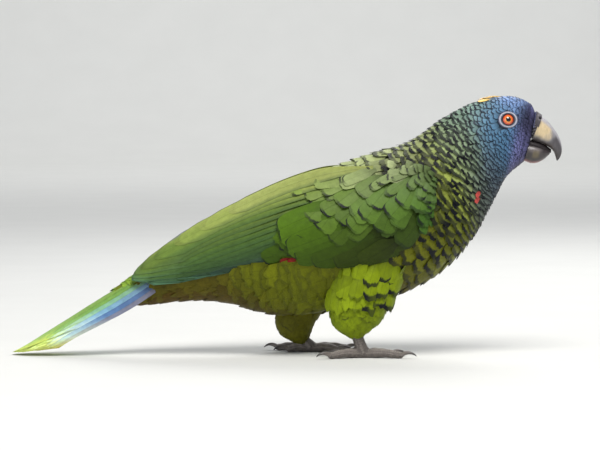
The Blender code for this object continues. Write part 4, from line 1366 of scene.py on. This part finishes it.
def make_claws():
    """A curved claw on every toe, flattened underneath where it would meet the floor."""
    t = np.linspace(0, 1, 30)
    bend = (36 - 82 * t) * DEG
    step = (CLAW_LENGTH + 1.4) / (len(t) - 1)
    size = (CLAW_RADIUS - 0.05) * (1 - t) ** 0.75 + 0.12
    tint = blend_tints((112, 104, 98), ((44, 40, 40), smooth(t, 0.15, 0.9)))[:, None]
    for name in SIDE:
        for toe, (path, _, ahead) in foot_paths(name)[1].items():
            start = path[-1] - ahead * 1.2 + (0, 0, 0.4)
            moves = (ahead[None] * np.cos(bend)[:, None] + points(0, 0, np.sin(bend))) * step
            middle = start + np.concatenate([np.zeros((1, 3)), np.cumsum(moves[:-1], 0)])
            rings = tube_rings(middle, size, sides=24, flat=0.82)
            rings[..., 2] = np.maximum(rings[..., 2], 0.0)
            claw = "claw_" + toe + "_" + name
            add_piece(claw + "_horn", ring_mesh(claw + "_horn", rings, claw_horn, tint), "horn", claw)


make_upper_bill()
make_lower_bill()
make_tongue()
make_cere()
make_claws()


def eye_axes(side):
    """An eyeball's middle, the way it looks, the place over it on the head, and forward and up across it."""
    middle, out, skin = eye_spot(side)
    forward = unit(np.array([1.0, 0, 0]) - out * out[0])
    up = np.cross(forward, out) * -side
    return middle, out, skin, forward, unit(up)


def eye_finish():
    """The eye: a black pupil, a yellow-orange inner and an orange-red outer iris under a wet surface."""
    f = Finish("eye", Roughness=0.12, Coat_Weight=1.0, Coat_Roughness=0.03, Specular_IOR_Level=0.5)
    u, v, _ = f.split(f.node("UVMap", uv_map="eye").outputs[0])
    x, y = (f.math("MULTIPLY_ADD", s, 2 * EYE_RADIUS, -EYE_RADIUS) for s in (u, v))
    r = f.math("SQRT", f.math("ADD", f.math("MULTIPLY", x, x), f.math("MULTIPLY", y, y)))
    angle = f.math("ARCTAN2", y, x)
    round_eye = f.node("CombineXYZ", f.math("MULTIPLY", angle, 5.0), f.math("MULTIPLY", r, 0.5)).outputs[0]
    rays = f.noise(round_eye, 2.2, 4.0, 0.7)
    ring = f.math("ADD", r, f.math("MULTIPLY_ADD", rays, 0.5, -0.25))
    iris = f.mix(f.ease(ring, 2.0, 3.2), tuple(linear((240, 146, 44))), tuple(linear((222, 84, 34))))
    iris = f.mix(f.ease(ring, 3.5, 4.1), iris, tuple(linear((120, 34, 18))))
    fibre = f.math("MULTIPLY_ADD", rays, 0.6, 0.68)
    iris = f.mix(1.0, iris, f.grey(fibre), "MULTIPLY")
    iris = f.mix(f.ease(r, IRIS - 0.05, IRIS + 0.12), iris, tuple(linear((20, 16, 16))))
    f.colour(f.mix(f.ease(r, PUPIL - 0.05, PUPIL + 0.12), tuple(linear((8, 7, 8))), iris))
    return f.material


def ring_oval(turn):
    """How far the bare ring is drawn out forward and back, round the eye."""
    return 0.07 * np.cos(2 * turn)


def make_eyeball(name, side, material):
    """A ball with a bulging front. Its own map, eye, is a flat view of it from the front."""
    middle, out, _, forward, up = eye_axes(side)
    turn = np.linspace(0, 2 * math.pi, 96, endpoint=False)
    tilt = np.concatenate([np.linspace(0.5, 60, 50), np.linspace(64, 176, 29)]) * DEG
    r = EYE_RADIUS * np.sin(tilt)
    h = EYE_RADIUS * np.cos(tilt) + 0.35 * np.exp(-(r / 2.6) ** 2) * (np.cos(tilt) > 0)
    ring = forward * np.cos(turn)[:, None] + up * np.sin(turn)[:, None]
    rings = middle + ring[None] * r[:, None, None] + (out * h[:, None])[:, None]
    flat = np.stack([r[:, None] * np.cos(turn), r[:, None] * np.sin(turn)], -1)
    uv = 0.5 + flat.reshape(-1, 2) / (2 * EYE_RADIUS)
    mesh = ring_mesh("eyeball_" + name, rings, material, linear((200, 90, 40)), uvs={"eye": uv})
    add_piece("eyeball_" + name, mesh, "eye", "eye_" + name)


def make_eye_lid(name, side):
    """The bare ring round an eye, folded at its inner edge and creased round."""
    _, out, skin, forward, up = eye_axes(side)
    turn = np.linspace(0, 2 * math.pi, 96, endpoint=False)
    k = np.arange(0, len(EYE_RING), 0.2)
    r, h = along(np.concatenate([EYE_RING[-2:], EYE_RING, EYE_RING[:3]]), k + 2).T
    seen = h > 0
    folds = 0.08 * np.sin(34 * turn)[None] * np.exp(-((r - 5.2) / 0.8) ** 2)[:, None] * seen[:, None]
    creases = 0.08 * np.cos(2 * math.pi * (r - 4.3) / 0.65)[:, None] * ((r > 4.5) & (r < 6.6) & seen)[:, None]
    oval = 1 + ring_oval(turn)[None] * smooth(r, 4.2, 6.0)[:, None]
    ring = forward * np.cos(turn)[:, None] + up * np.sin(turn)[:, None]
    height = h[:, None] + folds + creases
    rings = skin + ring[None] * (r[:, None] * oval)[..., None] + out * height[..., None]
    tint = blend_tints((20, 18, 22), ((66, 66, 80), smooth(r, 4.35, 4.9) * seen),
                       ((178, 180, 192), smooth(r, 5.2, 5.7) * seen), ((74, 78, 100), smooth(r, 6.3, 6.8)))
    mesh = ring_mesh("eye_lid_" + name, rings, flesh, tint[:, None], closed=True)
    add_piece("eye_lid_" + name, mesh, "bare_skin", "eye_ring_" + name)


eye_material = eye_finish()
for name, side in SIDE.items():
    make_eyeball(name, side, eye_material)
    make_eye_lid(name, side)


# ---------------------------------------------------------------- pieces that repeat along a path

def socket_named(tree, name):
    """The identifier of a tree's input socket."""
    return next(i.identifier for i in tree.interface.items_tree if i.name == name and i.in_out == "INPUT")


def path_tree(name, material, pointed):
    """Geometry nodes that set scales, grains or bristles along a path and give one plain mesh. The path's own
    values, up and girth, turn and size them."""
    tree = bpy.data.node_groups.new(name, "GeometryNodeTree")
    face = tree.interface
    face.new_socket("Path", in_out="INPUT", socket_type="NodeSocketGeometry")
    for label, kind, value in (("Count", "Int", 12), ("Length", "Float", 0.002), ("Width", "Float", 0.004),
                               ("Height", "Float", 0.001), ("Scatter", "Float", 0.1), ("Seed", "Int", 1)):
        face.new_socket(label, in_out="INPUT", socket_type="NodeSocket" + kind).default_value = value
    face.new_socket("Pieces", in_out="OUTPUT", socket_type="NodeSocketGeometry")

    def node(kind, settings=None, **inputs):
        made = tree.nodes.new(kind)
        for key, value in (settings or {}).items():
            setattr(made, key, value)
        for key, value in inputs.items():
            socket = made.inputs[key.replace("_", " ")]
            if isinstance(value, bpy.types.NodeSocket):
                tree.links.new(value, socket)
            else:
                socket.default_value = value
        return made

    def vector(x, y, z):
        return node("ShaderNodeCombineXYZ", X=x, Y=y, Z=z).outputs[0]

    given = node("NodeGroupInput").outputs
    line = node("GeometryNodeMeshToCurve", Mesh=given["Path"])
    spaced = node("GeometryNodeResampleCurve", Curve=line.outputs[0], Count=given["Count"])
    if pointed:
        shape = node("GeometryNodeMeshCone", Vertices=6, Side_Segments=3, Radius_Top=0.08, Radius_Bottom=0.5,
                     Depth=1.0)
    else:
        shape = node("GeometryNodeMeshUVSphere", Segments=12, Rings=7, Radius=0.5)
    size = vector(given["Length"], given["Width"], given["Height"])
    piece = node("GeometryNodeTransform", Geometry=shape.outputs["Mesh"], Scale=size)
    tangent = node("GeometryNodeInputTangent")
    ahead = node("FunctionNodeAlignRotationToVector", dict(axis="X"), Vector=tangent.outputs[0])
    up = node("GeometryNodeInputNamedAttribute", dict(data_type="FLOAT_VECTOR"), Name="up")
    upright = node("FunctionNodeAlignRotationToVector", dict(axis="Z", pivot_axis="X"),
                   Rotation=ahead.outputs[0], Vector=up.outputs["Attribute"])
    most = given["Scatter"]
    minus = node("ShaderNodeMath", dict(operation="MULTIPLY"))
    tree.links.new(most, minus.inputs[0])
    minus.inputs[1].default_value = -1.0
    least = minus.outputs[0]
    wobble = node("FunctionNodeRandomValue", dict(data_type="FLOAT_VECTOR"), Seed=given["Seed"],
                  Min=vector(least, least, least), Max=vector(most, most, most))
    turned = node("FunctionNodeRotateRotation", dict(rotation_space="LOCAL"), Rotation=upright.outputs[0],
                  Rotate_By=wobble.outputs["Value"])
    girth = node("GeometryNodeInputNamedAttribute", Name="girth")
    placed = node("GeometryNodeInstanceOnPoints", Points=spaced.outputs[0], Instance=piece.outputs[0],
                  Rotation=turned.outputs[0], Scale=girth.outputs[0])
    real = node("GeometryNodeRealizeInstances", Geometry=placed.outputs[0])
    done = node("GeometryNodeSetMaterial", Geometry=real.outputs[0], Material=material)
    smoothed = node("GeometryNodeSetShadeSmooth", Geometry=done.outputs[0])
    node("NodeGroupOutput", Pieces=smoothed.outputs[0])
    return tree


def along_paths(name, paths, tree, slot, **sizes):
    """Runs a path tree over paths, each with its points, upward directions and sizes, as one piece."""
    spots = np.concatenate([path for path, _, _ in paths]) * MM
    ends = np.cumsum([len(path) for path, _, _ in paths])
    links = [(i, i + 1) for i in range(len(spots) - 1) if i + 1 not in ends]
    line = bpy.data.meshes.new(name + "_paths")
    line.from_pydata(spots.tolist(), links, [])
    for label, kind, field, part in (("up", "FLOAT_VECTOR", "vector", 1), ("girth", "FLOAT", "value", 2)):
        values = np.concatenate([path[part] for path in paths]).astype(np.float32)
        line.attributes.new(label, kind, "POINT").data.foreach_set(field, values.ravel())
    holder = put_in_scene(name, line)
    change = holder.modifiers.new("pieces", "NODES")
    change.node_group = tree
    for key, value in sizes.items():
        change[socket_named(tree, key)] = value
    add_piece(name, finished_mesh(holder), slot)


TOE_BARE = (0.06, 0.98)     # the stretch of a toe that carries scales


def toe_lines(lift, aside):
    """Paths over the toes, lifted off their middle lines by a share of the radius and turned to one side."""
    lines = []
    for name in SIDE:
        for path, radius, ahead in foot_paths(name)[1].values():
            t = np.linspace(-0.1, 1.0, len(path))
            keep = (t > TOE_BARE[0]) & (t < TOE_BARE[1])
            across = np.array([-ahead[1], ahead[0], 0.0])
            up = unit(np.array([0, 0, 1.0]) * math.cos(aside) + across * math.sin(aside))
            spots = path[keep] + up * (radius[keep] * lift)[:, None]
            lines.append((spots, np.tile(up, (keep.sum(), 1)), radius[keep] / TOE_ROOT))
    return lines


def shank_lines(aside):
    """Paths down the shanks, turned round from the front."""
    up = np.array([math.cos(aside), math.sin(aside), 0.0])
    lines = []
    for name in SIDE:
        path, radius = (part[1:] for part in foot_paths(name)[0])
        lines.append((path + up * (radius * 0.88)[:, None], np.tile(up, (len(path), 1)),
                      radius / SHANK_RADIUS))
    return lines


def tinted(name, finish, rgb):
    """A copy of a finish in one tint, for pieces made without a tint of their own."""
    copy = finish.copy()
    copy.name = name
    tree = copy.node_tree
    for link in list(tree.links):
        if link.from_node.bl_idname == "ShaderNodeAttribute":
            socket = link.to_socket
            tree.links.remove(link)
            socket.default_value = (*linear(rgb), 1.0)
    return copy


foot_scales = flesh_finish("foot_scales", 0.5)
scutes = path_tree("toe_scutes", tinted("toe_scute", foot_scales, (150, 142, 134)), False)
grains = path_tree("scale_grains", tinted("scale_grain", foot_scales, (132, 124, 118)), False)
papillae = path_tree("lid_papillae", tinted("lid_papilla", flesh, (158, 162, 176)), False)
tufts = path_tree("brow_tufts", tinted("brow_tuft", flesh, (84, 88, 128)), True)
bristles = path_tree("lore_bristles", tinted("lore_bristle", flesh, (196, 196, 206)), True)
GRAIN_ROWS = (-50, 50, -82, 82)          # degrees round each toe from its top
SHANK_ROWS = 10

along_paths("toe_scutes", toe_lines(0.80, 0.0), scutes, "scaly_skin", Count=17, Length=0.0021, Width=0.0052,
            Height=0.0016, Scatter=0.06, Seed=3)
for n, aside in enumerate(GRAIN_ROWS):
    along_paths(f"toe_grains_{n}", toe_lines(0.90, aside * DEG), grains, "scaly_skin", Count=20,
                Length=0.0016, Width=0.0017, Height=0.0009, Scatter=0.3, Seed=5 + n)
for n in range(SHANK_ROWS):
    aside = (n - (SHANK_ROWS - 1) / 2) * 360 / SHANK_ROWS * DEG
    along_paths(f"shank_scales_{n}", shank_lines(aside), grains, "scaly_skin", Count=9 + n % 2,
                Length=0.0021, Width=0.0024, Height=0.0010, Scatter=0.2, Seed=20 + n)


def lid_lines():
    """Rows of papillae round each bare ring."""
    lines = []
    a = np.linspace(0, 2 * math.pi, 97)
    for side in SIDE.values():
        _, out, skin, forward, up = eye_axes(side)
        for r, h in ((5.6, 0.92), (6.15, 0.84)):
            ring = forward * np.cos(a)[:, None] + up * np.sin(a)[:, None]
            oval = (r * (1 + ring_oval(a)))[:, None]
            lines.append((skin + ring * oval + out * h, np.tile(out, (len(a), 1)), np.ones(len(a))))
    return lines


along_paths("lid_papillae", lid_lines(), papillae, "bare_skin", Count=46, Length=0.00050, Width=0.00036,
            Height=0.00020, Scatter=0.5, Seed=40)


# Rows over the top of the face: station, and degrees that each reaches down either side.
BROW_ROWS = [(-0.05, 50), (0.03, 58), (0.12, 62), (0.24, 66)]
BRISTLE_ROWS = [(-0.04, 60), (0.08, 90), (0.3, 96)]


def face_lines(rows, outward, forward, lift, sink, least):
    """Paths over the face for hairs that stand outward and forward, lifted along themselves and sunk into the
    face, and of uneven size down to a least share."""
    lines = []
    for at, reach in rows:
        turn = np.linspace(-reach, reach, 60) * DEG
        station = np.full(len(turn), at)
        normal = BODY_FACE.normal(station, turn)
        up = unit(normal * outward - unit(BODY_FACE.slopes(station, turn)[0]) * forward)
        spots = body_point(station, turn) + up * lift - normal * sink
        lines.append((spots, up, least + (1 - least) * rng.random(len(turn))))
    return lines


along_paths("brow_tufts", face_lines(BROW_ROWS, 0.55, 0.85, 0.6, 0.3, 0.6), tufts, "head_feathers", Count=46,
            Length=0.00075, Width=0.00075, Height=0.0034, Scatter=0.4, Seed=66)
along_paths("lore_bristles", face_lines(BRISTLE_ROWS, 0.75, 0.65, 0.8, 0.0, 0.45), bristles, "head_feathers",
            Count=22, Length=0.00014, Width=0.00014, Height=0.0030, Scatter=0.6, Seed=60)


# ---------------------------------------------------------------- floor, light and camera

AIM = (0.0099, 0.0, 0.0988)              # metres, as are all sizes here
WALL, WALL_TOP, WALL_BEND = 5.2, 5.0, 0.8
FLOOR_FRONT, FLOOR_HALF = -4.0, 4.5
# Lights: name, place, what each is aimed at, size, power, tint.
LIGHTS = [
    ("key", (0.25, -0.9, 1.75), AIM, 1.1, 35.0, (1.0, 0.98, 0.95)),
    ("fill", (-1.3, -1.2, 0.7), AIM, 1.4, 6.0, (0.93, 0.96, 1.0)),
    ("rim", (0.5, 1.1, 1.3), AIM, 1.0, 14.0, (1.0, 1.0, 1.0)),
    ("backdrop", (0.0, 3.2, 3.0), (0.0, WALL, 0.8), 1.6, 60.0, (1.0, 1.0, 1.0)),
]
DISTANCE, LOOK_DOWN, WIDTH = 2.4, 3.0 * DEG, 0.456      # of the camera, and the width it sees there
FILM = 36.0                                             # millimetres


def paper_finish(name, light, dark):
    """Plain matt paper, very slightly clouded."""
    f = Finish(name, Roughness=0.9)
    cloud = f.noise(f.spot(), 12.0, 3.0)
    f.colour(f.mix(cloud, tuple(linear(light)), tuple(linear(dark))))
    return f.material


def make_sweep():
    """A pale floor that curves up into a plain wall behind."""
    a = np.linspace(0, math.pi / 2, 16)
    bend = np.stack([WALL - WALL_BEND + WALL_BEND * np.sin(a), WALL_BEND - WALL_BEND * np.cos(a)], 1)
    floor = np.concatenate([[(FLOOR_FRONT, 0)], bend, [(WALL, WALL_TOP)]])
    verts = [(x, y, z) for y, z in floor for x in (-FLOOR_HALF, FLOOR_HALF)]
    faces = [(2 * i, 2 * i + 1, 2 * i + 3, 2 * i + 2) for i in range(len(floor) - 1)]
    mesh = bpy.data.meshes.new("sweep")
    mesh.from_pydata(verts, [], faces)
    mesh.materials.append(paper_finish("sweep_paper", (226, 226, 222), (220, 220, 216)))
    mesh.shade_smooth()
    sweep = put_in_scene("sweep", mesh)


def make_lights():
    for name, place, target, size, power, tint in LIGHTS:
        light = bpy.data.lights.new(name, "AREA")
        light.shape, light.size, light.energy, light.color = "DISK", size, power, tint
        lamp = put_in_scene(name, light)
        lamp.location = place
        lamp.rotation_euler = (Vector(target) - Vector(place)).to_track_quat("-Z", "Y").to_euler()
    world = bpy.data.worlds.new("studio")
    bpy.context.scene.world = world
    world.use_nodes = True
    background = world.node_tree.nodes["Background"]
    background.inputs["Color"].default_value = (0.86, 0.90, 1.0, 1.0)
    background.inputs["Strength"].default_value = 0.32
    bpy.context.scene.view_settings.view_transform = "Standard"


def make_camera():
    camera = put_in_scene("camera", bpy.data.cameras.new("camera"))
    camera.location = Vector(AIM) + Vector((0, -math.cos(LOOK_DOWN), math.sin(LOOK_DOWN))) * DISTANCE
    camera.rotation_euler = (math.pi / 2 - LOOK_DOWN, 0, 0)
    camera.data.sensor_width = FILM
    camera.data.lens = FILM * DISTANCE / WIDTH
    bpy.context.scene.camera = camera


make_sweep()
make_lights()
make_camera()
